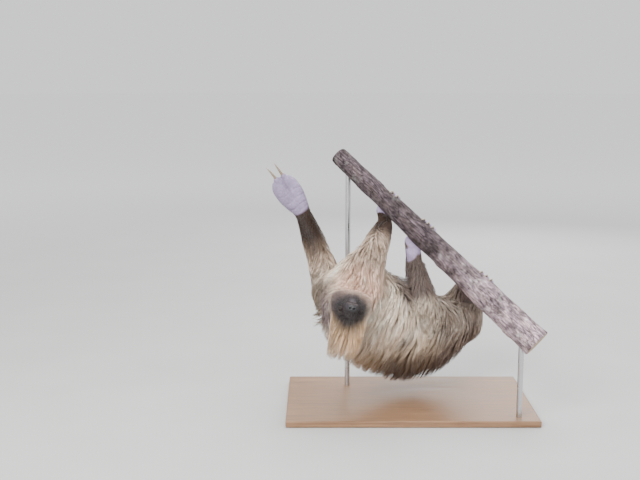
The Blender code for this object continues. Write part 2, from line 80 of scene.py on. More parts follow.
# The trunk's middle line and its half width and half height out to the tips of the coat
TRUNK = (
    (Vector((0.244, 0.155, 0.236)), 0.020, 0.020),
    (Vector((0.222, 0.148, 0.232)), 0.062, 0.060),
    (Vector((0.150, 0.123, 0.228)), 0.092, 0.088),
    (Vector((0.086, 0.098, 0.199)), 0.099, 0.118),
    (Vector((0.027, 0.073, 0.193)), 0.105, 0.144),
    (Vector((-0.032, 0.047, 0.214)), 0.108, 0.151),
    (Vector((-0.091, 0.020, 0.252)), 0.108, 0.156),
    (Vector((-0.146, -0.005, 0.302)), 0.102, 0.148),
    (Vector((-0.191, -0.027, 0.341)), 0.089, 0.128),
    (Vector((-0.229, -0.045, 0.358)), 0.062, 0.090),
    (Vector((-0.250, -0.056, 0.362)), 0.021, 0.030),
)
NECK = (Vector((-0.190, -0.030, 0.338)), Vector((-0.210, -0.082, 0.336)), Vector((-0.203, -0.130, 0.338)))
NECK_HALVES = ((0.044, 0.048), (0.041, 0.044), (0.036, 0.038))    # across it and square to that
ACROSS_TRUNK = Vector((-0.3, 1.0, 0.0))
ACROSS_NECK = Vector((1.0, -0.2, 0.0))
ACROSS_LIMB = Vector((1.0, 0.35, 0.2))
BACK_COAT = 0.52          # shares of the half sizes that the coat takes up
BELLY_COAT = 0.13
FLANK_COAT = 0.26

# ---- the head: (side, forward, crown) places, side is the animal's right, crown points down ----
HEAD_CENTRE = Vector((-0.183, -0.166, 0.349))
HEAD_FORWARD = Vector((0.02, -0.975, 0.19)).normalized()
HEAD_CROWN = Vector((-0.20, 0.0, -1.0))
HEAD_REACH = 0.13         # no part of the head lies further from its centre
BRAINCASE = ((0, -0.014, 0.004), (0.054, 0.053, 0.048))           # places and radii of ellipsoids
SNOUT_ROOT = ((0, 0.030, -0.003), (0.037, 0.033, 0.033))
HEAD_PAIRS = (            # cheeks, brows and upper lips, on the right
    ((0.029, 0.010, -0.014), (0.027, 0.029, 0.026)),
    ((0.024, 0.042, 0.020), (0.0115, 0.0090, 0.0070)),
    ((0.0080, 0.077, -0.0090), (0.0090, 0.0100, 0.0070)),
)
MUZZLE = (                # forward, crown, half width, half height
    (0.028, -0.004, 0.0285, 0.0265),
    (0.050, -0.004, 0.0235, 0.0205),
    (0.066, -0.004, 0.0190, 0.0166),
    (0.077, -0.003, 0.0166, 0.0145),
    (0.0845, -0.0025, 0.0128, 0.0115),
    (0.0885, -0.002, 0.0070, 0.0065),
)
JAW = (
    (0.008, -0.028, 0.0250, 0.0140),
    (0.050, -0.0225, 0.0155, 0.0100),
    (0.070, -0.0185, 0.0115, 0.0075),
    (0.079, -0.0160, 0.0060, 0.0045),
)
MOUTH_FORWARD = (0.040, 0.046, 0.055, 0.068, 0.080, 0.092)        # from the corner to the front
MOUTH_CROWN = (-0.0105, -0.0128, -0.0150, -0.0160, -0.0152, -0.0136)
EYE_RADIUS = 0.0082
EYE_PLACE = Vector((0.0275, 0.0475, 0.010))
EYE_GAZE = Vector((0.50, 0.85, 0.14)).normalized()
EYE_OPENING = (0.0066, 0.0050)                  # half width and half height between the lids
LID_ROWS = 14
LID_COLUMNS = 72
NOSE_PLACE = Vector((0.0, 0.0885, 0.001))
NOSE_RADII = (0.0125, 0.0065, 0.0095)
EAR_PLACE = Vector((0.0545, -0.010, 0.002))
EAR_RADII = (0.0034, 0.0115, 0.0135)
EAR_TURN = math.radians(20)

# ---- the branch and the claws ----
PERCH_TOP = Vector((-0.214, 0.140, 0.757))
PERCH_FOOT = Vector((0.350, -0.195, 0.248))
PERCH_RADII = (0.026, 0.044)
PERCH_ROWS = 330
PERCH_SIDES = 96
KNOTS = (                 # share of the branch's length, degrees round it, height
    (0.10, 70, 0.0030), (0.20, -20, 0.0026), (0.345, 60, 0.0036), (0.52, 110, 0.0040),
    (0.60, 20, 0.0036), (0.645, -95, 0.0030), (0.80, 75, 0.0046), (0.86, -60, 0.0036),
    (0.90, 150, 0.0034), (0.56, 175, 0.0030),
)
GRIPS = {                 # share of the branch's length, angles at the wrist and at the knuckles
    ("hand", "right"): (0.263, math.radians(-150), math.radians(-72)),
    ("foot", "right"): (0.430, math.radians(-156), math.radians(-72)),
    ("foot", "left"): (0.712, math.radians(-140), math.radians(-72)),
}
DIGIT_GAPS = {            # offsets of the grooves between the digits from a grip's middle
    ("hand", "right"): (0.0,),
    ("foot", "right"): (-0.0105, 0.0105),
    ("foot", "left"): (-0.0105, 0.0105),
}
PALM_THICKNESS = {"hand": 0.0135, "foot": 0.0145}
PALM_WIDTH = {"hand": 0.024, "foot": 0.030}
GRIP_CLEARANCE = 0.0016
CLAW_RADIUS = {"hand": 0.0052, "foot": 0.0046}
CLAW_SPREAD = {"hand": 0.021, "foot": 0.01785}    # between neighbouring claws
CLAW_COUNT = {"hand": 2, "foot": 3}
CLAW_SWEEP = math.radians(82)
FREE_CLAW_ARC = 0.080
FREE_CLAW_BEND = math.radians(58)
CLAW_STEPS = 44
CLAW_SIDES = 18

# ---- the coat ----
SKIN_VOXEL = 0.0027
ENVELOPE_VOXEL = 0.006
SEED = 7
BAKE_PATCH = 0.003        # how wide a lock is on the OFBake map
LOCK_TARGET = 78000
GUIDE_STEPS = 6
CLIMB_LIMIT = 0.9         # how steeply a guide may be lifted from the skin, as a share of its step
PATH_POINTS = {"trunk": 5, "neck": 5, "head": 5, "arm": 4, "leg": 4}   # along a lock, its tip included
RING_WIDTHS = {4: (0.75, 1.0, 0.66), 5: (0.70, 1.0, 0.84, 0.50)}
GRAVITY = np.array((0.0, 0.0, -1.0))
HEADWARD = np.array((-0.55, -0.12, 0.0))        # how the trunk's hair leans as it hangs
HEEL = np.array((-0.002, 0.012, 0.464))         # the bare heel of the right foot
HEEL_RADII = (0.030, 0.020)                     # along the slope of the sole and square to it

# Lengths of hair, and what is added or taken off by place
TRUNK_HAIR = 0.062
BELLY_SHORTER = 0.026
BACK_LONGER = 0.016
LIMB_HAIR = 0.052
LOWER_LIMB_SHORTER = 0.020
WRIST_SHORTER = 0.022
FACE_HAIR = 0.0030
NAPE_LONGER = 0.023
CROWN_LONGER = 0.108
NECK_LONGER = 0.050
SHOULDER_LONGER = 0.015

# Places of local tints, and of painted shade
THROAT = Vector((-0.155, -0.095, 0.390))
CHEEK_SHADE = Vector((-0.250, -0.120, 0.318))
CHEEK_SHADE_RADII = np.array((0.042, 0.120, 0.066))
# painted shade: a dark streak in the gap between flank and thigh
SHADE_GAP = Vector((-0.012, -0.060, 0.208))
SHADE_GAP_RADII = np.array((0.024, 0.120, 0.036))
MASK_CENTRE = (0.0, 0.058, 0.015)               # the dark face, in the head's frame
MASK_RADII = (0.060, 0.068, 0.067)

# Colours, linear
CREAM = np.array((1.00, 0.905, 0.785))
BLOND = np.array((0.88, 0.72, 0.56))
TAN = np.array((0.46, 0.33, 0.235))
GOLD = np.array((0.92, 0.57, 0.280))
BROWN = np.array((0.078, 0.050, 0.046))
RUSSET = np.array((0.050, 0.0185, 0.0072))
FACE_DARK = np.array((0.0105, 0.0080, 0.0135))
PINK = np.array((1.00, 0.65, 0.49))
# the colour of painted shade on the left cheek and neck
SHADE_DUSK = np.array((0.150, 0.102, 0.108))
ARM_FADE = np.array((0.68, 0.60, 0.58))         # what the arms keep of the blond
LAVENDER = np.array((0.30, 0.240, 0.375))
MUZZLE_SKIN = np.array((0.026, 0.0215, 0.027))
LID_DARK = np.array((0.026, 0.018, 0.017))
EYE_WHITE = np.array((0.004, 0.003, 0.003))     # the ball about the iris, nearly black
IRIS = np.array((0.010, 0.0036, 0.0018))
PUPIL = np.array((0.0006, 0.0005, 0.0005))


# ---- helpers: shapes ----
def new_object(name, data):
    thing = bpy.data.objects.new(name, data)
    bpy.context.scene.collection.objects.link(thing)
    return thing


def object_from(name, work):
    """A shown object from the bmesh, smooth shaded."""
    bmesh.ops.recalc_face_normals(work, faces=work.faces)
    mesh = bpy.data.meshes.new(name)
    work.to_mesh(mesh)
    work.free()
    mesh.shade_smooth()
    return new_object(name, mesh)


def apply_modifiers(thing):
    """Replace the mesh by its evaluated form."""
    graph = bpy.context.evaluated_depsgraph_get()
    mesh = bpy.data.meshes.new_from_object(thing.evaluated_get(graph), depsgraph=graph)
    thing.modifiers.clear()
    old = thing.data
    thing.data = mesh
    bpy.data.meshes.remove(old)
    mesh.name = thing.name


def ellipsoid(work, centre, radii, turn=None, detail=24):
    """Add an ellipsoid: its radii lie along the columns of turn."""
    turned = (turn or Matrix.Identity(3)).to_4x4()
    place = Matrix.Translation(centre) @ turned @ Matrix.Diagonal((*radii, 1.0))
    bmesh.ops.create_uvsphere(work, u_segments=detail, v_segments=detail // 2, radius=1.0, matrix=place)


def smooth_path(points, steps):
    """Points of a Catmull-Rom curve through the given vectors, which may hold radii as well."""
    ends = [points[0] * 2 - points[1], *points, points[-1] * 2 - points[-2]]
    path = []
    for a, b, c, d in zip(ends, ends[1:], ends[2:], ends[3:]):
        for step in range(steps):
            t = step / steps
            path.append(0.5 * (b * 2 + (c - a) * t + (a * 2 - b * 5 + c * 4 - d) * t ** 2
                               + (b * 3 - a - c * 3 + d) * t ** 3))
    return path + [points[-1]]


def heading_at(centres, place):
    """The way a middle line runs at one of its places."""
    return (centres[min(place + 1, len(centres) - 1)] - centres[max(place - 1, 0)]).normalized()


def loft(work, stations, across, steps=5, sides=24):
    """Add a closed loft of ellipses: (centre, half size along across, half size square to it) each."""
    rows = smooth_path([Vector((*centre, *halves)) for centre, *halves in stations], steps)
    centres = [Vector(row[:3]) for row in rows]
    rings = []
    for place, (centre, row) in enumerate(zip(centres, rows)):
        along = heading_at(centres, place)
        side = (across - along * across.dot(along)).normalized()
        up = along.cross(side)
        ring = []
        for corner in range(sides):
            turn = 2 * math.pi * corner / sides
            reach = side * (max(row[3], 0.002) * math.cos(turn)) + up * (max(row[4], 0.002) * math.sin(turn))
            ring.append(work.verts.new(centre + reach))
        rings.append(ring)
    for ring, following in zip(rings, rings[1:]):
        for corner in range(sides):
            after = (corner + 1) % sides
            work.faces.new((ring[corner], ring[after], following[after], following[corner]))
    work.faces.new(rings[0][::-1])
    work.faces.new(rings[-1])


def limb(work, joints, radii):
    """A loft of round sections from joint to joint, with a ball on each joint."""
    loft(work, [(joint, radius, radius) for joint, radius in zip(joints, radii)], ACROSS_LIMB)
    for joint, radius in zip(joints, radii):
        ellipsoid(work, joint, (radius,) * 3)


def waves(points, size, seed, count=16):
    """A smooth random field over points (n, 3), about -1.5 to 1.5, whose lumps are about size wide."""
    chance = np.random.default_rng(seed)
    heading = chance.normal(size=(count, 3))
    heading /= np.linalg.norm(heading, axis=1, keepdims=True)
    pace = (2 * math.pi / (2 * size)) * chance.uniform(0.6, 1.5, size=(count, 1))
    phase = chance.uniform(0, 2 * math.pi, size=count)
    return np.sin(points @ (heading * pace).T + phase).sum(axis=1) * (1.4 / math.sqrt(count))


def ramp(values, low, high):
    """0 below low, 1 above high, smooth between."""
    share = np.clip((values - low) / (high - low), 0.0, 1.0)
    return share * share * (3 - 2 * share)


def bell(values, width):
    """1 at 0, and close to 0 at twice the width."""
    return np.exp(-((values / width) ** 2))


def unit(rows):
    return rows / np.maximum(np.linalg.norm(rows, axis=-1, keepdims=True), 1e-9)


def mix(a, b, share):
    share = np.asarray(share)[..., None]
    return a * (1 - share) + b * share


# ---- helpers: meshes as arrays ----
def rows_of(mesh, what):
    """The vertices' "co" or "normal" as rows."""
    flat = np.empty(len(mesh.vertices) * 3)
    mesh.vertices.foreach_get(what, flat)
    return flat.reshape(-1, 3)


def move_to(mesh, places):
    mesh.vertices.foreach_set("co", places.ravel())
    mesh.update()


def paint(mesh, name, colours):
    """Store a colour for each vertex."""
    layer = mesh.color_attributes.new(name=name, type="FLOAT_COLOR", domain="POINT")
    full = np.ones((len(mesh.vertices), 4))
    full[:, :3] = np.clip(colours, 0.0, 1.0)
    layer.data.foreach_set("color", full.ravel())


def store(mesh, name, vectors):
    """Store a vector for each vertex."""
    layer = mesh.attributes.new(name=name, type="FLOAT_VECTOR", domain="POINT")
    layer.data.foreach_set("vector", np.asarray(vectors, dtype=float).ravel())


def mesh_from_triangles(name, places, triangles):
    mesh = bpy.data.meshes.new(name)
    mesh.vertices.add(len(places))
    mesh.vertices.foreach_set("co", places.ravel())
    mesh.loops.add(triangles.size)
    mesh.loops.foreach_set("vertex_index", triangles.ravel().astype(np.int32))
    mesh.polygons.add(len(triangles))
    mesh.polygons.foreach_set("loop_start", np.arange(0, triangles.size, 3, dtype=np.int32))
    mesh.update(calc_edges=True)
    mesh.shade_smooth()
    return mesh


def wall_triangles(lower, upper):
    """Triangles between rings of corner numbers, each ring closed on itself."""
    after, upper_after = np.roll(lower, -1, axis=-1), np.roll(upper, -1, axis=-1)
    return np.concatenate((np.stack((lower, after, upper_after), axis=-1).reshape(-1, 3),
                           np.stack((lower, upper_after, upper), axis=-1).reshape(-1, 3)))


# ---- materials ----
class Look:
    """One procedural material in the making."""

    def __init__(self, name, roughness, specular, **constants):
        self.material = bpy.data.materials.new(name)
        self.material.use_nodes = True
        self.tree = self.material.node_tree
        self.shader = self.tree.nodes["Principled BSDF"]
        self.shader.inputs["Roughness"].default_value = roughness
        self.shader.inputs["Specular IOR Level"].default_value = specular
        for socket, value in constants.items():
            self.shader.inputs[socket.replace("_", " ")].default_value = value

    def node(self, kind, values=None, **settings):
        node = self.tree.nodes.new(kind)
        for setting, value in settings.items():
            setattr(node, setting, value)
        for socket, value in (values or {}).items():
            node.inputs[socket].default_value = value
        return node

    def link(self, value, socket):
        self.tree.links.new(value, socket)

    def tint(self):
        """The colours painted on the mesh."""
        return self.node("ShaderNodeAttribute", attribute_name="tint").outputs["Color"]

    def stored(self, name):
        """A vector stored on the mesh."""
        return self.node("ShaderNodeAttribute", attribute_name=name).outputs["Vector"]

    def place(self):
        return self.node("ShaderNodeTexCoord").outputs["Object"]

    def split(self, vector):
        node = self.node("ShaderNodeSeparateXYZ")
        self.link(vector, node.inputs[0])
        return node.outputs

    def stretched(self, where, scale):
        node = self.node("ShaderNodeMapping", {"Scale": scale})
        self.link(where, node.inputs["Vector"])
        return node.outputs["Vector"]

    def noise(self, where, scale, detail=4.0, roughness=0.55):
        """Noise at those coordinates; a scale of three numbers stretches it."""
        if isinstance(scale, tuple):
            where, scale = self.stretched(where, scale), 1.0
        node = self.node("ShaderNodeTexNoise", {"Scale": scale, "Detail": detail, "Roughness": roughness})
        self.link(where, node.inputs["Vector"])
        return node.outputs["Fac"]

    def warped(self, where, scale, reach):
        """The coordinates, shifted to and fro by noise."""
        ripple = self.node("ShaderNodeTexNoise", {"Scale": scale, "Detail": 3.0})
        self.link(where, ripple.inputs["Vector"])
        warp = self.node("ShaderNodeVectorMath", {1: (reach,) * 3}, operation="MULTIPLY_ADD")
        self.link(ripple.outputs["Color"], warp.inputs[0])
        self.link(where, warp.inputs[2])
        return warp.outputs[0]

    def cracks(self, where, scale, width):
        """0 on the borders of cells and 1 at that distance from them; a scale as for noise."""
        if isinstance(scale, tuple):
            where, scale = self.stretched(where, scale), 1.0
        node = self.node("ShaderNodeTexVoronoi", {"Scale": scale}, feature="DISTANCE_TO_EDGE")
        self.link(where, node.inputs["Vector"])
        return self.spread(node.outputs["Distance"], 0.0, width, 0.0, 1.0)

    def spread(self, value, low, high, to_low, to_high):
        """Map a value's range to another."""
        node = self.node("ShaderNodeMapRange", {"From Min": low, "From Max": high,
                                                "To Min": to_low, "To Max": to_high})
        self.link(value, node.inputs["Value"])
        return node.outputs["Result"]

    def mix(self, share, a, b, way="MIX"):
        """Mix two colours, each a socket or a tuple, by a share, a socket or a number."""
        node = self.node("ShaderNodeMix", data_type="RGBA", blend_type=way)
        for value, socket in ((share, node.inputs[0]), (a, node.inputs[6]), (b, node.inputs[7])):
            if isinstance(value, bpy.types.NodeSocket):
                self.link(value, socket)
            else:
                socket.default_value = (*value, 1.0) if isinstance(value, tuple) else value
        return node.outputs[2]

    def between(self, value, low, high, a, b, most=1.0):
        """Colour a where the value is low, and b, or most of it, where the value is high."""
        return self.mix(self.spread(value, low, high, 0.0, most), a, b)

    def grey(self, value, low, high, to_low, to_high):
        """A grey from a value's range."""
        tone = self.spread(value, low, high, to_low, to_high)
        node = self.node("ShaderNodeCombineColor")
        for socket in node.inputs:
            self.link(tone, socket)
        return node.outputs[0]

    def shade(self, colour, value, to_low, to_high, low=0.3, high=0.7):
        """The colour, darkened and lightened by a value."""
        return self.mix(1.0, colour, self.grey(value, low, high, to_low, to_high), "MULTIPLY")

    def bump(self, height, strength, distance):
        node = self.node("ShaderNodeBump", {"Strength": strength, "Distance": distance})
        self.link(height, node.inputs["Height"])
        before = self.shader.inputs["Normal"].links
        if before:
            self.link(before[0].from_socket, node.inputs["Normal"])
        self.link(node.outputs["Normal"], self.shader.inputs["Normal"])

    def finish(self, colour, value=None, smooth=0.0, rough=0.0, low=0.3, high=0.7):
        """Set the colour, and the roughness by a value."""
        self.link(colour, self.shader.inputs["Base Color"])
        if value is not None:
            self.link(self.spread(value, low, high, smooth, rough), self.shader.inputs["Roughness"])
        return self.material


def coat_material():
    """Hair: the lock's own tint, with fine streaks along it."""
    look = Look("coat_hair", 0.62, 0.28, Sheen_Weight=0.25, Sheen_Roughness=0.45)
    streak = look.noise(look.stored("strand"), (11.0, 0.8, 40.0))
    look.bump(streak, 0.5, 0.0006)
    return look.finish(look.shade(look.tint(), streak, 0.78, 1.16), streak, 0.56, 0.70)


def skin_material():
    """Skin: the painted markings, wrinkled and leathery where bare, matt elsewhere."""
    look = Look("skin", 0.7, 0.35)
    bare = look.split(look.stored("skin_kind"))[0]
    where = look.place()
    wrinkle = look.cracks(look.warped(where, 90.0, 0.012), 120.0, 0.22)
    creased = look.mix(bare, (1.0, 1.0, 1.0), look.grey(wrinkle, 0.0, 1.0, 0.86, 1.0))
    colour = look.shade(look.tint(), look.noise(where, 60.0, detail=5.0), 0.82, 1.14)
    colour = look.mix(1.0, colour, creased, "MULTIPLY")
    colour = look.shade(colour, look.noise(where, 700.0, detail=3.0), 0.86, 1.10, 0.35, 0.65)
    look.bump(look.cracks(where, 420.0, 0.25), 0.35, 0.0008)
    look.bump(wrinkle, 0.35, 0.0010)
    return look.finish(colour, bare, 0.92, 0.50, 0.0, 1.0)


def nose_material():
    look = Look("nose_leather", 0.36, 0.5)
    where = look.place()
    crack = look.cracks(where, 620.0, 0.25)
    look.bump(crack, 0.25, 0.0004)
    return look.finish(look.mix(crack, (0.006, 0.0055, 0.0065), (0.014, 0.013, 0.016)),
                       look.noise(where, 300.0), 0.40, 0.55)


def eye_material():
    """The painted iris and pupil under a wet clear layer."""
    look = Look("eye_wet", 0.35, 0.1, Coat_Weight=0.6, Coat_Roughness=0.02, Coat_IOR=1.35)
    fibres = look.noise(look.stored("strand"), (1.0, 14.0, 1.0), detail=3.0)
    return look.finish(look.shade(look.tint(), fibres, 0.6, 1.4))


def claw_material():
    """Horn: grey-brown at the root, paler to the tip, with fine ridges along it."""
    look = Look("claw_horn", 0.34, 0.5)
    place = look.stored("strand")
    band = look.noise(place, (4.0, 9.0, 4.0), detail=5.0)
    horn = look.between(look.split(place)[1], 0.15, 0.95, (0.20, 0.135, 0.090), (0.50, 0.41, 0.30))
    look.bump(look.noise(place, (14.0, 1.5, 14.0), detail=3.0), 0.35, 0.0006)
    return look.finish(look.shade(horn, band, 0.62, 1.22), band, 0.28, 0.46)


def bark_material():
    """Weathered bark: grey with a mauve cast, fissured along the branch, with lichen and dark stains,
    darker in painted shade along its upper part and paler towards its lower end."""
    look = Look("bark_weathered", 0.9, 0.2)
    place, where = look.stored("strand"), look.place()
    grain = look.noise(place, (420.0, 42.0, 420.0), 8.0, 0.65)
    broad = look.noise(place, (60.0, 14.0, 60.0), 5.0)
    crack = look.cracks(place, (150.0, 24.0, 150.0), 0.13)
    colour = look.between(grain, 0.36, 0.64, (0.050, 0.035, 0.041), (0.42, 0.315, 0.355))
    colour = look.between(broad, 0.42, 0.62, colour, (0.27, 0.200, 0.180), 0.40)
    colour = look.shade(colour, crack, 0.42, 1.0, 0.0, 1.0)
    colour = look.between(look.noise(where, 34.0, 6.0, 0.6), 0.58, 0.68, colour, (0.50, 0.47, 0.46), 0.60)
    colour = look.shade(colour, look.noise(where, 26.0, 7.0, 0.7), 0.32, 1.20, 0.38, 0.60)
    # painted shade: darker along the upper part of the branch, paler towards its lower end
    colour = look.shade(colour, look.split(place)[1], 0.48, 2.10, 0.42, 0.68)
    look.bump(grain, 0.9, 0.004)
    look.bump(crack, 0.7, 0.003)
    return look.finish(colour, grain, 0.80, 0.97)


def cut_wood_material():
    """The sawn ends: wavering rings about the middle line, with grime."""
    look = Look("branch_cut", 0.8, 0.25)
    wobble = look.noise(look.place(), 50.0, detail=3.0)
    ring = look.node("ShaderNodeMath", {1: 2600.0}, operation="MULTIPLY_ADD")
    look.link(look.split(look.stored("strand"))[2], ring.inputs[0])
    look.link(look.spread(wobble, 0.0, 1.0, 0.0, 14.0), ring.inputs[2])
    wave = look.node("ShaderNodeMath", operation="SINE")
    look.link(ring.outputs[0], wave.inputs[0])
    tone = look.spread(wave.outputs[0], -1.0, 1.0, 0.0, 1.0)
    colour = look.mix(tone, (0.33, 0.225, 0.14), (0.50, 0.385, 0.265))
    look.bump(tone, 0.3, 0.0006)
    return look.finish(look.between(wobble, 0.40, 0.70, colour, (0.21, 0.155, 0.12), 0.6))


def stand_wood_material():
    """Oiled hardwood, its grain along the base."""
    look = Look("stand_oak", 0.42, 0.45)
    where = look.place()
    grain = look.noise(where, (5.0, 95.0, 95.0), 8.0, 0.62)
    pores = look.noise(where, (26.0, 900.0, 900.0))
    figure = look.noise(where, (1.4, 15.0, 15.0), 3.0)
    colour = look.between(grain, 0.32, 0.68, (0.150, 0.078, 0.040), (0.335, 0.195, 0.105))
    colour = look.between(figure, 0.35, 0.65, colour, (0.225, 0.120, 0.062), 0.6)
    look.bump(pores, 0.25, 0.0004)
    return look.finish(look.shade(colour, pores, 0.62, 1.0, 0.30, 0.46), grain, 0.34, 0.52)


def stand_steel_material():
    """Brushed steel, its scratches round the rod."""
    look = Look("stand_steel_brushed", 0.3, 0.5, Metallic=1.0)
    where = look.place()
    brush = look.noise(where, (60.0, 60.0, 2600.0), 5.0)
    look.bump(brush, 0.15, 0.0002)
    return look.finish(look.between(brush, 0.3, 0.7, (0.47, 0.47, 0.48), (0.63, 0.63, 0.64)),
                       look.noise(where, 40.0, 3.0), 0.24, 0.40)


def floor_material():
    """Pale matt studio floor with a faint mottle, paler where the lamps no longer reach it."""
    look = Look("studio_floor", 0.9, 0.1)
    where = look.place()
    near = look.between(look.noise(where, 3.0, 5.0), 0.3, 0.7, (0.47, 0.467, 0.462), (0.50, 0.497, 0.492))
    reach = look.node("ShaderNodeVectorMath", operation="LENGTH")
    look.link(where, reach.inputs[0])
    far = look.spread(reach.outputs["Value"], 1.0, 7.0, 0.0, 1.0)
    far.node.interpolation_type = "SMOOTHERSTEP"
    return look.finish(look.mix(far, near, (0.97, 0.97, 0.97)))


# ---- camera, light and floor ----
def aim_object(name, data, place, way):
    """Link a camera or a lamp that looks that way."""
    thing = new_object(name, data)
    thing.location = place
    thing.rotation_mode = "QUATERNION"
    thing.rotation_quaternion = way.to_track_quat("-Z", "Y")
    return thing


def make_camera():
    data = bpy.data.cameras.new("camera")
    data.sensor_width = SENSOR
    data.lens = LENS
    back = Vector((0.0, -math.cos(AIM_RISE), math.sin(AIM_RISE)))
    bpy.context.scene.camera = aim_object("camera", data, AIM + back * AIM_DISTANCE, -back)


def make_lights():
    for name, place, size, power, colour in LAMPS:
        data = bpy.data.lights.new(name, "AREA")
        data.shape = "DISK"
        data.size = size
        data.energy = power
        data.color = colour
        aim_object(name, data, place, Vector(LIT) - Vector(place))
    world = bpy.data.worlds.new("studio")
    bpy.context.scene.world = world
    world.use_nodes = True
    background = world.node_tree.nodes["Background"]
    background.inputs["Color"].default_value = SKY
    background.inputs["Strength"].default_value = SKY_STRENGTH


def make_floor():
    """A wide round floor, far enough out to look endless."""
    work = bmesh.new()
    bmesh.ops.create_circle(work, cap_ends=True, segments=96, radius=FLOOR_RADIUS)
    floor = object_from("studio_floor", work)
    floor.data.materials.append(floor_material())


# ---- the head's and the branch's frames ----
def head_frame():
    crown = (HEAD_CROWN - HEAD_FORWARD * HEAD_CROWN.dot(HEAD_FORWARD)).normalized()
    return Matrix((HEAD_FORWARD.cross(crown), HEAD_FORWARD, crown)).transposed()


HEAD_TURN = head_frame()
HEAD_AXES = np.array(HEAD_TURN.transposed())     # rows: side, forward, crown


def on_head(side, forward, crown):
    return HEAD_CENTRE + HEAD_TURN @ Vector((side, forward, crown))


def in_head(points):
    """World places as (side, forward, crown)."""
    return (points - np.array(HEAD_CENTRE)) @ HEAD_AXES.T


def out_of_head(local):
    return local @ HEAD_AXES + np.array(HEAD_CENTRE)


PERCH_AXIS = (PERCH_FOOT - PERCH_TOP).normalized()
PERCH_UP = (Vector((0, 0, 1)) - PERCH_AXIS * PERCH_AXIS.z).normalized()
PERCH_FRONT = PERCH_AXIS.cross(PERCH_UP)
PERCH_LENGTH = (PERCH_FOOT - PERCH_TOP).length
TOP_ROW, AXIS_ROW, UP_ROW, FRONT_ROW = map(np.array, (PERCH_TOP, PERCH_AXIS, PERCH_UP, PERCH_FRONT))


def perch_radius(along):
    top, foot = PERCH_RADII
    swelling = 0.0012 * math.sin(along * 19.0) + 0.0008 * math.sin(along * 43.0 + 1.0)
    return top + (foot - top) * along + swelling


def perch_point(along, angle, height):
    """A point at that height over the bark; angle 0 is on top and 90 degrees is on the -Y side."""
    reach = perch_radius(along) + height
    centre = PERCH_TOP.lerp(PERCH_FOOT, along)
    return centre + PERCH_UP * (reach * math.cos(angle)) + PERCH_FRONT * (reach * math.sin(angle))


def grip_path(kind, side, thickness, count=7):
    """The middle line of a palm that wraps the branch, from the wrist to the knuckles."""
    along, start, end = GRIPS[kind, side]
    path = []
    for step in range(count):
        share = step / (count - 1)
        lift = 0.006 * (1 - share) ** 2
        path.append(perch_point(along, start + (end - start) * share, thickness + GRIP_CLEARANCE + lift))
    return path


def grip_stations(kind, side):
    """The palm's flesh, a little inside its hair."""
    width, thickness = PALM_WIDTH[kind] - 0.002, PALM_THICKNESS[kind] - 0.0012
    return [(point, width, thickness) for point in grip_path(kind, side, thickness)]


def claw_offset(kind, number):
    """How far a claw's root is from the middle of its hand or foot."""
    return (number - (CLAW_COUNT[kind] - 1) / 2) * CLAW_SPREAD[kind]


# ---- the skin's masses ----
def add_trunk_skin(work):
    """The body under the coat: close under the belly's hair, deep in the back's."""
    centres = [centre for centre, _, _ in TRUNK]
    stations = []
    for place, (centre, half_width, half_height) in enumerate(TRUNK):
        along = heading_at(centres, place)
        up = (Vector((0, 0, 1)) - along * along.z).normalized()
        shift = up * (half_height * (BACK_COAT - BELLY_COAT) / 2)
        inner = half_height * (1 - (BACK_COAT + BELLY_COAT) / 2)
        stations.append((centre + shift, half_width * (1 - FLANK_COAT), inner))
    loft(work, stations, ACROSS_TRUNK, sides=32)


def add_neck_skin(work):
    loft(work, [(centre, *halves) for centre, halves in zip(NECK, NECK_HALVES)], ACROSS_NECK)


def add_head_skin(work):
    for place, radii in (BRAINCASE, SNOUT_ROOT):
        ellipsoid(work, on_head(*place), radii, HEAD_TURN, detail=32)
    for way in (-1, 1):
        for (side, forward, crown), radii in HEAD_PAIRS:
            ellipsoid(work, on_head(side * way, forward, crown), radii, HEAD_TURN)
        turn = HEAD_TURN @ Matrix.Rotation(-EAR_TURN * way, 3, "Z")
        ellipsoid(work, on_head(way * EAR_PLACE.x, EAR_PLACE.y, EAR_PLACE.z), EAR_RADII, turn)
    for profile in (MUZZLE, JAW):
        loft(work, [(on_head(0, forward, crown), *halves) for forward, crown, *halves in profile],
             HEAD_TURN.col[0])


def add_arm_skin(work):
    for side in SIDES:
        ellipsoid(work, SHOULDER[side], (0.044, 0.042, 0.048))
        middle = SHOULDER[side].lerp(ELBOW[side], 0.45)
        limb(work, (SHOULDER[side], middle, ELBOW[side]), (0.039, 0.034, 0.0265))
        middle = ELBOW[side].lerp(WRIST[side], 0.32)
        limb(work, (ELBOW[side], middle, WRIST[side]), (0.0265, 0.0265, 0.0165))
    limb(work, (BREAST, ELBOW["right"]), (0.032, 0.022))
    loft(work, [(WRIST["right"], 0.0175, 0.0165), *grip_stations("hand", "right")], PERCH_AXIS)
    add_free_hand(work)
    add_knuckles(work, "hand", "right")


def add_free_hand(work):
    """The open hand: its palm, two digits, and the pads at their roots."""
    heading = (FREE_HAND[3] - FREE_HAND[2]).normalized()
    stations = [(FREE_HAND[0], 0.0205, 0.0170), (FREE_HAND[1], 0.0365, 0.0182),
                (FREE_HAND[2], 0.0405, 0.0158), (FREE_HAND[3] - heading * 0.008, 0.0290, 0.0100)]
    loft(work, stations, FREE_HAND_ACROSS)
    turn = Matrix((FREE_HAND_ACROSS, heading, FREE_HAND_ACROSS.cross(heading))).transposed()
    for way in (-1, 1):
        tip = FREE_HAND[3] + FREE_HAND_ACROSS * (way * CLAW_SPREAD["hand"] / 2)
        pad = FREE_HAND[1] + FREE_HAND_ACROSS * (way * 0.017) + turn.col[2] * 0.005
        ellipsoid(work, tip - heading * 0.026, (0.0135, 0.0220, 0.0135), turn)
        ellipsoid(work, tip - heading * 0.006, (0.0105, 0.0125, 0.0105), turn)
        ellipsoid(work, pad, (0.0150, 0.0260, 0.0135), turn)


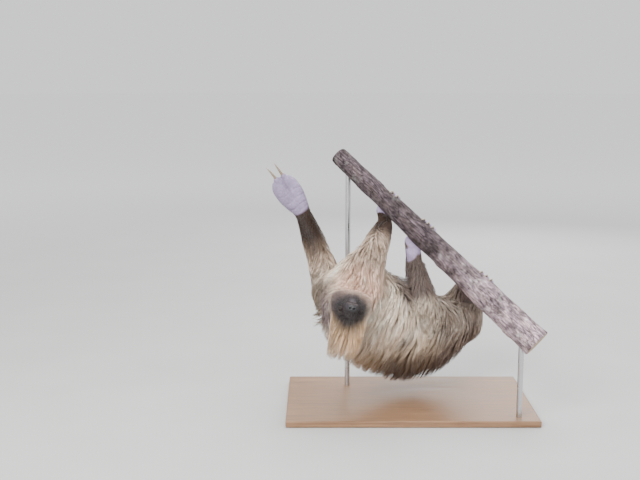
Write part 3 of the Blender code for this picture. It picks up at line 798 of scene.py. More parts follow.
def add_knuckles(work, kind, side):
    """A rounded end of flesh about the root of each gripping claw."""
    along, _, end = GRIPS[kind, side]
    for number in range(CLAW_COUNT[kind]):
        share = along + claw_offset(kind, number) / PERCH_LENGTH
        for back, radius in ((0.34, 0.0100), (0.06, 0.0092), (-0.08, 0.0080)):
            ellipsoid(work, perch_point(share, end - back, PALM_THICKNESS[kind] * 0.85), (radius,) * 3)


def add_leg_skin(work):
    for side in SIDES:
        ellipsoid(work, HIP[side], (0.050, 0.046, 0.052))
        middle = HIP[side].lerp(KNEE[side], 0.5)
        limb(work, (HIP[side], middle, KNEE[side]), (0.047, 0.040, 0.0285))
        middle = KNEE[side].lerp(ANKLE[side], 0.35)
        limb(work, (KNEE[side], middle, ANKLE[side]), (0.029, 0.028, 0.0215))
        loft(work, [(ANKLE[side], 0.0225, 0.0200), *grip_stations("foot", side)], PERCH_AXIS)
        add_knuckles(work, "foot", side)


def fuse(thing, voxel, rounds):
    """Join the masses into one closed surface."""
    step = thing.modifiers.new("fuse", "REMESH")
    step.mode = "VOXEL"
    step.voxel_size = voxel
    step = thing.modifiers.new("soften", "SMOOTH")
    step.factor = 0.5
    step.iterations = rounds
    apply_modifiers(thing)


def refine_face(thing):
    """Halve the faces of the head's front, then those of muzzle and eyes again, and even them out."""
    work = bmesh.new()
    work.from_mesh(thing.data)
    for from_forward, width in ((0.012, 0.062), (0.032, 0.042)):
        local = in_head(np.array([face.calc_center_median() for face in work.faces]))
        across = np.linalg.norm(local[:, [0, 2]], axis=1)
        front = (local[:, 1] > from_forward) & (across < width) & (local[:, 1] < 0.12)
        work.faces.ensure_lookup_table()
        edges = {edge for place in np.nonzero(front)[0] for edge in work.faces[place].edges}
        done = bmesh.ops.subdivide_edges(work, edges=list(edges), cuts=1, use_grid_fill=True)
        fresh = [item for item in done["geom"] if isinstance(item, bmesh.types.BMVert)]
        for _ in range(3):
            bmesh.ops.smooth_vert(work, verts=fresh, factor=0.5, use_axis_x=True, use_axis_y=True,
                                  use_axis_z=True)
    work.to_mesh(thing.data)
    work.free()


def mouth_offset(local):
    """How far a place of the muzzle lies over the mouth's line, and how much of the line is there."""
    line = np.interp(local[:, 1], MOUTH_FORWARD, MOUTH_CROWN)
    present = ramp(local[:, 1], 0.042, 0.064) * (np.abs(local[:, 0]) < 0.032)
    return local[:, 2] - line, present * (np.linalg.norm(local, axis=1) < HEAD_REACH)


def eye_frame(side):
    """Centre of the eye and its gaze, sideways and upward directions, in the head's frame."""
    centre = np.array((EYE_PLACE.x * side, EYE_PLACE.y, EYE_PLACE.z))
    gaze = unit(np.array((EYE_GAZE.x * side, EYE_GAZE.y, EYE_GAZE.z)))
    up = unit(np.array((0.0, 0.0, 1.0)) - gaze * gaze[2])
    return centre, gaze, np.cross(gaze, up), up


def sculpt_socket(head, side):
    """Press the skin round the ball, open it between the lids, and fold it about them."""
    centre, gaze, across, up = eye_frame(side)
    away = head - centre
    reach = np.linalg.norm(away, axis=1)
    heading = away / reach[:, None]
    ahead = heading @ gaze
    facing = ahead > 0.1
    opening = np.sqrt(((away @ across) / EYE_OPENING[0]) ** 2 + ((away @ up) / EYE_OPENING[1]) ** 2)
    lid = EYE_RADIUS + 0.0011
    hold = ramp(reach, lid + 0.006, lid + 0.001) * facing
    lifted = centre + heading * mix(reach[:, None], np.maximum(reach, lid)[:, None], hold)
    head = np.where((hold > 0)[:, None], lifted, head)
    inside = ramp(opening, 1.06, 0.92) * facing * (reach < 0.020)
    head = mix(head, centre + heading * (EYE_RADIUS * 0.70), inside)
    groove = bell(opening - 1.75, 0.22) * facing * (reach < 0.019)
    return head - heading * (0.0009 * groove)[:, None]


def sculpt_mouth(head):
    """Part the lips, round them, and fold the muzzle over them."""
    crease, present = mouth_offset(head)
    inward = unit(np.stack((head[:, 0], np.maximum(head[:, 1] - 0.074, 0.0), head[:, 2] + 0.012), axis=1))
    head = head - inward * (0.0018 * present * bell(crease, 0.0008))[:, None]
    lips = bell(crease - 0.0024, 0.0014) + 0.8 * bell(crease + 0.0022, 0.0013)
    head = head + inward * (0.0005 * present * lips)[:, None]
    muzzle = ramp(head[:, 1], 0.045, 0.070) * (head[:, 2] > -0.004)
    head[:, 2] += 0.00028 * np.sin(head[:, 1] * 1500.0 + waves(head, 0.012, 3) * 1.6) * muzzle
    return head


def sculpt_face(places):
    local = in_head(places)
    near = np.linalg.norm(local, axis=1) < HEAD_REACH
    head = local[near]
    for side in (-1, 1):
        head = sculpt_socket(head, side)
    result = places.copy()
    result[near] = out_of_head(sculpt_mouth(head))
    return result


def sculpt_ears(places, normals):
    """Cup the ears on their outer side."""
    local = in_head(places)
    for side in (-1, 1):
        away = local - np.array((EAR_PLACE.x * side, EAR_PLACE.y, EAR_PLACE.z))
        cup = bell(np.linalg.norm(away[:, 1:], axis=1), 0.0075) * ramp(away[:, 0] * side, -0.001, 0.004)
        places = places - normals * (0.0028 * cup)[:, None]
    return places


def towards_front(way):
    """The way or its opposite, whichever points to -Y."""
    return way if way[1] < 0 else -way


def hand_axes():
    """The free hand's root, its heading, its across direction and its palm's direction."""
    heading = unit(np.array(FREE_HAND[3] - FREE_HAND[0]))
    across = np.array(FREE_HAND_ACROSS)
    return np.array(FREE_HAND[0]), heading, across, towards_front(unit(np.cross(heading, across)))


def grip_shares(points, kind, side):
    """Places about a gripping palm: offset along the branch, angle round it and height over the bark."""
    along = GRIPS[kind, side][0]
    away = points - TOP_ROW
    travel = away @ AXIS_ROW
    radial = away - travel[:, None] * AXIS_ROW
    angle = np.arctan2(radial @ FRONT_ROW, radial @ UP_ROW)
    height = np.linalg.norm(radial, axis=1) - perch_radius(along)
    return travel - along * PERCH_LENGTH, np.degrees(angle), height


def sculpt_hands(places, normals):
    """Grooves between the digits and creases across the free palm."""
    root, heading, across, palm = hand_axes()
    away = places - root
    travel, offset = away @ heading, away @ across
    close = np.linalg.norm(away, axis=1) < FREE_HAND_REACH
    near = ramp(travel, 0.030, 0.085) * close
    places = places - normals * (0.0042 * near * bell(offset, 0.0034))[:, None]
    for start, depth in ((0.018, 0.0010), (0.034, 0.0018), (0.058, 0.0018), (0.082, 0.0014)):
        wave = start + 0.0030 * np.sin(offset * 110.0)
        crease = bell(travel - wave, 0.0022) * ramp(normals @ palm, 0.1, 0.5)
        places = places - normals * (depth * crease * close)[:, None]
    for (kind, side), gaps in DIGIT_GAPS.items():
        offset, angle, height = grip_shares(places, kind, side)
        near = (np.abs(offset) < 0.045) & (height < 0.040) & (angle < -40)
        toes = near * ramp(angle, -118, -92)
        for gap in gaps:
            places = places - normals * (0.0028 * toes * bell(offset - gap, 0.003))[:, None]
    return places


def build_skin():
    work = bmesh.new()
    for add_mass in (add_trunk_skin, add_neck_skin, add_head_skin, add_arm_skin, add_leg_skin):
        add_mass(work)
    skin = object_from("skin", work)
    fuse(skin, SKIN_VOXEL, 4)
    refine_face(skin)
    mesh = skin.data
    move_to(mesh, sculpt_face(rows_of(mesh, "co")))
    move_to(mesh, sculpt_ears(rows_of(mesh, "co"), rows_of(mesh, "normal")))
    move_to(mesh, sculpt_hands(rows_of(mesh, "co"), rows_of(mesh, "normal")))
    mesh.shade_smooth()
    return skin


LIMB_NODES = ("upper_arm", "forearm", "hand", "thigh", "shank", "foot")
FLESH = ("trunk_chest", "trunk_loin", "trunk_rump", "neck", "head_cranium", "head_muzzle", "ear_left",
         "ear_right", *(f"{part}_{side}" for side in SIDES for part in LIMB_NODES))


def build_envelope():
    """The surface that the coat's tips reach: the flesh solids fused into one, used as a guide only."""
    work = bmesh.new()
    for name in FLESH:
        work.from_mesh(NODES[name].data)
    envelope = object_from("envelope", work)
    fuse(envelope, ENVELOPE_VOXEL, 3)
    mesh = envelope.data
    polygons = [tuple(polygon.vertices) for polygon in mesh.polygons]
    tree = BVHTree.FromPolygons(rows_of(mesh, "co").tolist(), polygons)
    bpy.data.objects.remove(envelope, do_unlink=True)
    bpy.data.meshes.remove(mesh)
    return tree


# ---- which part of the body a place belongs to ----
def bones():
    """Middle lines of the parts, each with the radius that it owns."""
    lines = {"trunk": ([centre for centre, _, _ in TRUNK[1:-1]], 0.085), "neck": (NECK[1:], 0.045),
             "head": ((on_head(0, -0.014, 0.0), on_head(0, 0.085, -0.006)), 0.050)}
    for side in SIDES:
        hand = FREE_HAND[3] if side == "left" else grip_path("hand", "right", 0.012)[-1]
        sole = grip_path("foot", side, 0.013)
        lines[f"arm_{side}"] = ((SHOULDER[side], ELBOW[side], WRIST[side], hand), 0.030)
        lines[f"leg_{side}"] = ((HIP[side], KNEE[side], ANKLE[side], sole[3], sole[-1]), 0.034)
    return {name: ([np.array(place) for place in line], radius) for name, (line, radius) in lines.items()}


def along_line(points, line):
    """Distance to a polyline, the nearest place's way along it in whole joints, and the offset from it."""
    best = np.full(len(points), 1e9)
    travel = np.zeros(len(points))
    offset = np.zeros((len(points), 3))
    for number, (a, b) in enumerate(zip(line, line[1:])):
        share = np.clip(((points - a) @ (b - a)) / ((b - a) @ (b - a)), 0.0, 1.0)
        away = points - (a + share[:, None] * (b - a))
        reach = np.linalg.norm(away, axis=1)
        closer = reach < best
        best = np.where(closer, reach, best)
        travel = np.where(closer, number + share, travel)
        offset = np.where(closer[:, None], away, offset)
    return best, travel, offset


class Parts:
    """For each point: the part that it belongs to, and how far along that part it is."""

    def __init__(self, points):
        scores, self.travel, self.offset = [], {}, {}
        for name, (line, radius) in bones().items():
            reach, self.travel[name], self.offset[name] = along_line(points, line)
            scores.append(reach - radius)
        self.names = list(self.travel)
        self.scores = np.array(scores)
        self.label = np.argmin(self.scores, axis=0)

    def weight(self, name, softness=0.02):
        """How far the points belong to the part, from 0 to 1, with a soft border."""
        spot = self.names.index(name)
        others = np.delete(self.scores, spot, axis=0).min(axis=0)
        return ramp(others - self.scores[spot], -softness, softness)


def bare_free_hand(points, normals):
    root, heading, _, palm = hand_axes()
    away = points - root
    travel = away @ heading
    bare = ramp(travel, 0.004, 0.018) * ramp(normals @ palm, -0.25, 0.10)
    return np.maximum(bare, ramp(travel, 0.074, 0.090)) * (np.linalg.norm(away, axis=1) < FREE_HAND_REACH)


def bare_grip(points, normals, kind, side):
    """The palm or sole against the bark, and the digits' ends."""
    offset, angle, height = grip_shares(points, kind, side)
    near = (np.abs(offset) < PALM_WIDTH[kind] + 0.012) & (height < 0.055) & (angle < -38)
    radial = points - TOP_ROW
    radial = unit(radial - (radial @ AXIS_ROW)[:, None] * AXIS_ROW)
    inner = ramp(-(normals * radial).sum(axis=1), -0.45, -0.10) * ramp(height, 0.034, 0.024)
    toes = ramp(angle, -98, -84) * (height < 0.034)
    return near * np.maximum(inner, toes)


def bare_heel(points, normals):
    slope = unit(np.array((1.0, 0.0, 0.75)))
    away = points - HEEL
    along_sole, square = away @ slope, away @ np.array((-slope[2], 0.0, slope[0]))
    heel = np.hypot(along_sole / HEEL_RADII[0], square / HEEL_RADII[1])
    return ramp(heel, 1.15, 0.85) * ramp(-normals[:, 1], -0.1, 0.3) * (np.abs(away[:, 1]) < 0.05)


def bare_share(points, normals):
    """1 on bare skin: palms, soles, muzzle and lids; 0 where hair grows."""
    local = in_head(points)
    areas = [bare_free_hand(points, normals), bare_heel(points, normals)]
    areas += [bare_grip(points, normals, kind, side) for kind, side in GRIPS]
    areas.append(ramp(local[:, 1], 0.054, 0.078) * (np.linalg.norm(local, axis=1) < HEAD_REACH))
    for side in (-1, 1):
        centre, gaze, _, _ = eye_frame(side)
        away = local - centre
        areas.append(ramp(np.linalg.norm(away, axis=1), 0.0122, 0.0105) * (away @ gaze > 0.0))
    return np.max(areas, axis=0)


# ---- markings ----
def streaks(points):
    """Long soft bands that run the way the trunk's hair hangs, about -1 to 1."""
    fall = unit(GRAVITY + HEADWARD)
    pressed = points - (points @ fall)[:, None] * fall * 0.88
    return np.clip(waves(pressed, 0.015, 51) * 0.85 + waves(pressed, 0.007, 52) * 0.35, -1, 1)


def paint_trunk(points, weight):
    """Blond with cream and tan streaks, golden low down, russet underneath that is partly painted shade,
    brown to the rear, and a streak of painted shade in the gap between flank and thigh.
    """
    band = streaks(points)
    colour = np.broadcast_to(BLOND, (len(points), 3))
    colour = mix(colour, CREAM, 0.80 * np.maximum(band, 0.0))
    colour = mix(colour, TAN, 0.52 * np.maximum(-band, 0.0))
    low = ramp(points[:, 2], 0.26, 0.15) * weight
    colour = mix(colour, GOLD * 0.52, 0.84 * low)
    # russet underneath: partly the coat's own colour, partly painted shade on the underside
    under = ramp(points[:, 2] + 0.012 * band, 0.195, 0.135) * ramp(points[:, 0], -0.16, -0.04) * weight
    colour = mix(colour, RUSSET, 0.95 * under)
    rear = ramp(points[:, 0], 0.040, 0.14) * weight
    colour = mix(colour, TAN * 0.25 + BROWN * 0.75, 0.90 * rear)
    # painted shade: a dark streak in the gap between flank and thigh
    away = (points - np.array(SHADE_GAP)) / SHADE_GAP_RADII
    away[:, 0] -= away[:, 2] * 0.6
    return mix(colour, TAN * 0.35, 0.80 * ramp(np.linalg.norm(away, axis=1), 1.3, 0.5) * weight)


def paint_limbs(colour, points, parts):
    """Arms and legs darken from the trunk outwards; the haunches are darker than the thighs."""
    haunch = ramp(points[:, 0], 0.050, 0.115)
    for side in SIDES:
        weight, travel = parts.weight(f"arm_{side}"), parts.travel[f"arm_{side}"]
        colour = mix(colour, BLOND * ARM_FADE, 0.85 * weight)
        colour = mix(colour, TAN * 0.9, 0.60 * weight * ramp(travel, 0.3, 1.0))
        colour = mix(colour, RUSSET * 0.60, 0.97 * weight * ramp(travel, 0.90, 1.65))
        weight, travel = parts.weight(f"leg_{side}"), parts.travel[f"leg_{side}"]
        colour = mix(colour, BLOND * 0.62, 0.60 * weight * (1 - haunch))
        colour = mix(colour, TAN * 0.20 + BROWN * 0.80, 0.80 * weight * haunch)
        colour = mix(colour, BROWN * 1.5, 0.88 * weight * ramp(travel, 0.98, 1.22))
    return colour


def markings(points):
    """The colour of skin and coat at each place."""
    parts = Parts(points)
    colour = paint_limbs(paint_trunk(points, parts.weight("trunk")), points, parts)
    shoulder = np.linalg.norm(points - np.array(SHOULDER["left"]), axis=1)
    shaded = ramp(shoulder, 0.165, 0.095) * ramp(points[:, 2], 0.430, 0.380)
    colour = mix(colour, TAN * 0.42, 0.90 * shaded)
    throat = np.linalg.norm((points - np.array(THROAT)) * np.array((1.0, 0.8, 1.0)), axis=1)
    colour = mix(colour, PINK, 0.96 * ramp(throat, 0.090, 0.030))
    # painted shade on the left cheek and neck, between head and shoulder
    cheek = np.linalg.norm((points - np.array(CHEEK_SHADE)) / CHEEK_SHADE_RADII, axis=1)
    colour = mix(colour, SHADE_DUSK, 0.90 * ramp(cheek, 1.25, 0.50))
    return paint_head(colour, points, parts.weight("head", 0.015))


def paint_head(colour, points, weight):
    """A golden crown, a pink jaw, painted shade on the left cheek, and a dark face about eyes and muzzle."""
    local = in_head(points)
    side, _, crown = local.T
    colour = mix(colour, TAN * 0.45 + BLOND * 0.45, 0.75 * weight)
    jaw = ramp(crown, 0.000, -0.030) * weight
    colour = mix(colour, PINK * 0.72, 0.75 * jaw)
    # painted shade on the left side of the head
    colour = mix(colour, SHADE_DUSK, 0.8 * ramp(side, -0.015, -0.045) * ramp(crown, 0.060, 0.020) * weight)
    colour = mix(colour, GOLD, 0.92 * ramp(crown, 0.010, 0.060) * weight)
    from_middle = np.linalg.norm((local - np.array(MASK_CENTRE)) / np.array(MASK_RADII), axis=1)
    ragged = 0.03 * np.clip(waves(points, 0.016, 61), -1, 1)
    return mix(colour, FACE_DARK, 0.96 * ramp(from_middle + ragged, 1.36, 0.66) * weight)


def paint_bare(colour, points, bare):
    """Lavender palms and soles, those on the branch paler; dark muzzle, lips and lids."""
    local = in_head(points)
    on_face = np.linalg.norm(local, axis=1) < HEAD_REACH
    grips_branch = points[:, 0] > -0.1
    tone = (1.0 + 0.55 * grips_branch) * (0.92 + 0.08 * waves(points, 0.02, 5))
    colour = mix(colour, LAVENDER * tone[:, None], bare * (~on_face))
    colour = mix(colour, MUZZLE_SKIN * (0.95 + 0.12 * waves(points, 0.010, 6))[:, None], bare * on_face)
    crease, present = mouth_offset(local)
    colour = mix(colour, PINK * 0.03 + MUZZLE_SKIN * 0.97, bell(crease, 0.0048) * bare * on_face)
    colour = mix(colour, LID_DARK * 0.6, 0.9 * present * bell(crease, 0.0011))
    for side in (-1, 1):
        reach = np.linalg.norm(local - eye_frame(side)[0], axis=1)
        colour = mix(colour, LID_DARK, ramp(reach, 0.0145, 0.0105) * on_face)
    return colour


def dress_skin(skin):
    mesh = skin.data
    places, normals = rows_of(mesh, "co"), rows_of(mesh, "normal")
    bare = bare_share(places, normals)
    coat = markings(places)
    # furred skin takes 0.70 of the coat's tint: partly a darker undercoat, partly painted shade deep in the
    # coat
    colour = mix(coat * 0.70, coat, bare)
    paint(mesh, "tint", paint_bare(colour, places, bare))
    store(mesh, "skin_kind", np.stack((bare, np.zeros(len(bare)), np.zeros(len(bare))), axis=1))
    mesh.materials.append(skin_material())
    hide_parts(*FLESH)
    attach(skin, "root")


# ---- eyes, lids and nose ----
def build_eye(side, word, material):
    """A ball with a shallow cornea; the iris and pupil are painted about its gaze."""
    centre, gaze, across, up = eye_frame(side)
    work = bmesh.new()
    ellipsoid(work, Vector((0, 0, 0)), (EYE_RADIUS,) * 3, detail=56)
    places = np.array([vert.co for vert in work.verts])
    eye = object_from(f"eyeball_{word}", work)
    mesh = eye.data
    ahead = unit(places) @ gaze
    bulge = 1.0 + 0.05 * ramp(ahead, 0.80, 0.98)
    move_to(mesh, out_of_head(places * bulge[:, None] + centre))
    from_gaze = np.arccos(np.clip(ahead, -1, 1))
    white = np.broadcast_to(EYE_WHITE, (len(places), 3))
    colour = mix(white, IRIS, ramp(from_gaze, 0.72, 0.64))
    paint(mesh, "tint", mix(colour, PUPIL, ramp(from_gaze, 0.30, 0.25)))
    round_it = np.arctan2(places @ up, places @ across)
    store(mesh, "strand", np.stack((from_gaze, np.cos(round_it), np.sin(round_it)), axis=1))
    mesh.materials.append(material)
    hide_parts(f"eye_{word}")
    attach(eye, "root")


def lid_shell(side):
    """Upper and lower lid of one eye as one smooth shell: it starts on the ball at the opening, turns
    over a soft rim, folds once and sinks into the skin."""
    centre, gaze, across, up = eye_frame(side)
    turns = np.linspace(0, 2 * math.pi, LID_COLUMNS, endpoint=False)
    wide, high = EYE_OPENING
    pointed = 1 - 0.22 * np.cos(turns) ** 4
    edge = across * (wide * np.cos(turns))[:, None] + up * (high * pointed * np.sin(turns))[:, None]
    edge = edge + gaze * np.sqrt(np.maximum(EYE_RADIUS ** 2 - (edge ** 2).sum(axis=1), 1e-6))[:, None]
    edge_angle = np.arccos(np.clip(unit(edge) @ gaze, -1, 1))
    sideways = unit(edge - gaze * (edge @ gaze)[:, None])
    rows = []
    for step in range(LID_ROWS):
        share = step / (LID_ROWS - 1)
        angle = edge_angle + (math.radians(84) - edge_angle) * share ** 1.3
        rim = 0.0013 * ramp(np.array(share), -0.02, 0.14)
        fold = 0.00045 * math.sin(min(share / 0.55, 1.0) * 2 * math.pi - 0.6) * (0.3 < share < 0.95)
        sink = 0.0032 * ramp(np.array(share), 0.62, 1.0)
        radius = EYE_RADIUS + 0.00005 + rim + fold - sink
        rows.append(gaze * (radius * np.cos(angle))[:, None] + sideways * (radius * np.sin(angle))[:, None])
    return np.array(rows) + centre


def build_lids(material):
    """Both eyes' lids, each a shell closed by an inner wall."""
    places, triangles = [], []
    for number, side in enumerate((-1, 1)):
        rows = lid_shell(side)
        inner = rows[::-1]
        ring = np.concatenate((rows, inner + (eye_frame(side)[0] - inner) * 0.10))
        places.append(out_of_head(ring.reshape(-1, 3)))
        grid = np.arange(len(ring) * LID_COLUMNS).reshape(-1, LID_COLUMNS)
        triangles.append(wall_triangles(grid, np.roll(grid, -1, axis=0)) + number * grid.size)
    places = np.concatenate(places)
    mesh = mesh_from_triangles("eyelids", places, np.concatenate(triangles))
    lids = new_object("eyelids", mesh)
    work = bmesh.new()
    work.from_mesh(mesh)
    bmesh.ops.recalc_face_normals(work, faces=work.faces)
    work.to_mesh(mesh)
    work.free()
    paint(mesh, "tint", LID_DARK * (1.0 + 0.25 * waves(places, 0.003, 8))[:, None])
    store(mesh, "skin_kind", np.tile((1.0, 0.0, 0.0), (len(places), 1)))
    mesh.materials.append(material)
    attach(lids, "root")


def build_nose():
    """A leathery pad with two comma-shaped nostrils and a groove down to the lip."""
    work = bmesh.new()
    ellipsoid(work, Vector((0, 0, 0)), (1.0, 1.0, 1.0), detail=72)
    ball = np.array([vert.co for vert in work.verts])
    nose = object_from("nose_pad", work)
    squared = np.sign(ball) * np.abs(ball) ** 0.86
    local = squared * np.array(NOSE_RADII) * 1.02
    front = ball[:, 1] > 0
    for side in (-1, 1):
        across, over = local[:, 0] - side * 0.0056, local[:, 2] + 0.0004
        pit = bell(across, 0.0027) * bell(over, 0.0021)
        slit = bell(local[:, 0] - side * 0.0088, 0.0024) * bell(local[:, 2] + 0.0022, 0.0010)
        rim = bell(np.hypot(across, over * 1.2) - 0.0036, 0.0010)
        local[:, 1] += front * (-0.0058 * pit - 0.0026 * slit + 0.0007 * rim)
    local[:, 1] -= front * 0.0014 * bell(local[:, 0], 0.0007) * ramp(local[:, 2], 0.002, -0.004)
    move_to(nose.data, out_of_head(local + np.array(NOSE_PLACE)))
    nose.data.materials.append(nose_material())
    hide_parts("nose")
    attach(nose, "root")


# ---- claws ----
def claw_taper(share):
    return np.maximum(1.0 - share ** 1.6, 0.0) * 0.88 + 0.12


def gripping_claw(kind, side, number, shares):
    """Middle line of a claw that goes on round the branch from the knuckles."""
    along, _, knuckles = GRIPS[kind, side]
    along += claw_offset(kind, number) / PERCH_LENGTH
    start = PALM_THICKNESS[kind] * 0.9 + GRIP_CLEARANCE
    points = []
    for share in shares:
        angle = knuckles + CLAW_SWEEP * (share * 1.18 - 0.18)
        sink = CLAW_RADIUS[kind] * float(claw_taper(share)) + 0.0010
        ease = max(1 - share / 0.45, 0.0) ** 2
        points.append(perch_point(along, angle, sink + (start - sink) * ease))
    return np.array(points), AXIS_ROW


def free_claw(number, shares):
    """Middle line of a claw of the free hand, curving towards its palm."""
    across = np.array(FREE_HAND_ACROSS)
    heading = unit(np.array(FREE_HAND[3] - FREE_HAND[1]))
    palm = towards_front(np.cross(heading, across))
    offset = claw_offset("hand", number)
    root = np.array(FREE_HAND[3]) + across * offset - heading * 0.016
    bend = (FREE_CLAW_BEND * shares)[:, None]
    reach = heading * (FREE_CLAW_ARC * np.sin(bend)) + palm * (FREE_CLAW_ARC * (1 - np.cos(bend)))
    return root + reach + across * (offset * 0.25 * shares)[:, None], across


def claw_triangles():
    """Walls and both ends of a claw's tube of rings."""
    grid = np.arange(CLAW_STEPS * CLAW_SIDES).reshape(CLAW_STEPS, CLAW_SIDES)
    fan = np.arange(1, CLAW_SIDES - 1)
    hub = np.zeros(CLAW_SIDES - 2, dtype=int)
    root_end = np.stack((hub, fan + 1, fan), axis=1)
    tip_end = np.stack((hub, fan, fan + 1), axis=1) + grid[-1, 0]
    return np.concatenate((wall_triangles(grid[:-1], grid[1:]), root_end, tip_end))


def build_claw(kind, side, number, material):
    """A claw of horn, deeper than it is wide, with faint rings towards its root."""
    shares = np.linspace(0, 1, CLAW_STEPS)
    if (kind, side) == ("hand", "left"):
        middle, across = free_claw(number, shares)
    else:
        middle, across = gripping_claw(kind, side, number, shares)
    heading = unit(np.gradient(middle, axis=0))
    across = unit(across - heading * (heading @ across)[:, None])
    deep = np.cross(heading, across)
    turns = np.linspace(0, 2 * math.pi, CLAW_SIDES, endpoint=False)
    radius = CLAW_RADIUS[kind] * claw_taper(shares) * (1 + 0.02 * np.sin(shares * 70.0) * (1 - shares))
    wide = across[:, None] * np.cos(turns)[None, :, None] * 0.86
    tall = deep[:, None] * np.sin(turns)[None, :, None] * 1.04
    places = middle[:, None] + (wide + tall) * radius[:, None, None]
    name = f"{kind}_{side}_{number + 1}"
    mesh = mesh_from_triangles(f"horn_{name}", places.reshape(-1, 3), claw_triangles())
    piece = new_object(mesh.name, mesh)
    strand = np.zeros((CLAW_STEPS, CLAW_SIDES, 3))
    strand[:, :, 0] = np.cos(turns)[None]
    strand[:, :, 1] = shares[:, None]
    strand[:, :, 2] = np.sin(turns)[None]
    store(mesh, "strand", strand.reshape(-1, 3))
    mesh.materials.append(material)
    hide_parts(f"claw_{name}")
    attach(piece, "root")


def build_claws():
    horn = claw_material()
    for side in SIDES:
        for kind, count in CLAW_COUNT.items():
            for number in range(count):
                build_claw(kind, side, number, horn)


# ---- the branch ----
def bark_relief(travel, angle):
    """Height of the bark, in metres, over the plain tapered branch."""
    round_it = np.stack((np.cos(angle) * 0.035, np.sin(angle) * 0.035, travel * 0.16), axis=1)
    fissures = np.abs(waves(round_it, 0.0040, 21, 30)) - 0.55
    broad = waves(round_it * np.array((1, 1, 3.0)), 0.030, 22)
    fine = waves(round_it * np.array((1, 1, 2.2)), 0.0022, 23, 30)
    relief = 0.0009 * np.clip(fissures, -0.55, 0.3) + 0.0007 * np.clip(broad, -1, 1)
    relief = relief + 0.00022 * fine - 0.0004
    for along, degrees, height in KNOTS:
        wrap = np.angle(np.exp(1j * (angle - math.radians(degrees)))) * 0.036
        away = np.hypot(wrap, (travel - along * PERCH_LENGTH) * 0.75)
        swelling = bell(away, 0.0115) - 0.75 * bell(away, 0.0042)
        relief = relief + height * (swelling + 0.25 * bell(away - 0.0068, 0.0020))
    return relief


def add_cut_ends(places, grid):
    """Close both ends with rings of their own; each holds its distance from the middle line."""
    count, sides = grid.size, grid.shape[1]
    all_places, caps, strands = [places], [], []
    for rim, way in ((places[grid[0]], -1), (places[grid[-1]], 1)):
        middle = rim.mean(axis=0)
        rings = []
        for step in (1.0, 0.8, 0.6, 0.4, 0.2, 0.03):
            ring = middle + (rim - middle) * step + AXIS_ROW * (way * 0.0006 * (1 - step))
            all_places.append(ring)
            reach = np.linalg.norm(ring - middle, axis=1)
            strands.append(np.stack((np.zeros(sides), np.zeros(sides), reach), axis=1))
            rings.append(np.arange(count, count + sides))
            count += sides
        for outer, inner in zip(rings, rings[1:]):
            caps.append(wall_triangles(outer, inner)[:, ::way])
        hub = rings[-1]
        fan = np.stack((np.full(sides - 2, hub[0]), hub[1:-1], hub[2:]), axis=1)
        caps.append(fan[:, ::way])
    return np.concatenate(all_places), np.concatenate(caps), np.concatenate(strands)


def build_perch():
    rows, sides = PERCH_ROWS, PERCH_SIDES
    shares = np.linspace(0, 1, rows)
    travel = np.repeat(np.linspace(0, PERCH_LENGTH, rows), sides)
    angle = np.tile(np.linspace(0, 2 * math.pi, sides, endpoint=False), rows)
    share = travel / PERCH_LENGTH
    plain = np.array([perch_radius(value) for value in shares]).repeat(sides)
    end = np.minimum(share, 1 - share) * PERCH_LENGTH
    radius = plain + bark_relief(travel, angle) - 0.0022 * ramp(end, 0.004, 0.0)
    middle = TOP_ROW + travel[:, None] * AXIS_ROW
    spoke = np.cos(angle)[:, None] * UP_ROW + np.sin(angle)[:, None] * FRONT_ROW
    grid = np.arange(rows * sides).reshape(rows, sides)
    sleeve = wall_triangles(grid[:-1], grid[1:])
    places, caps, cap_strands = add_cut_ends(middle + spoke * radius[:, None], grid)
    triangles = np.concatenate((sleeve, caps))
    mesh = mesh_from_triangles("branch_bark", places, triangles)
    branch = new_object("branch_bark", mesh)
    strand = np.stack((np.cos(angle) * radius, travel, np.sin(angle) * radius), axis=1)
    store(mesh, "strand", np.concatenate((strand, cap_strands)))
    mesh.materials.append(bark_material())
    mesh.materials.append(cut_wood_material())
    kinds = np.zeros(len(triangles), dtype=np.int32)
    kinds[len(sleeve):] = 1
    mesh.polygons.foreach_set("material_index", kinds)
    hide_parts("perch_branch")
    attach(branch, "root")


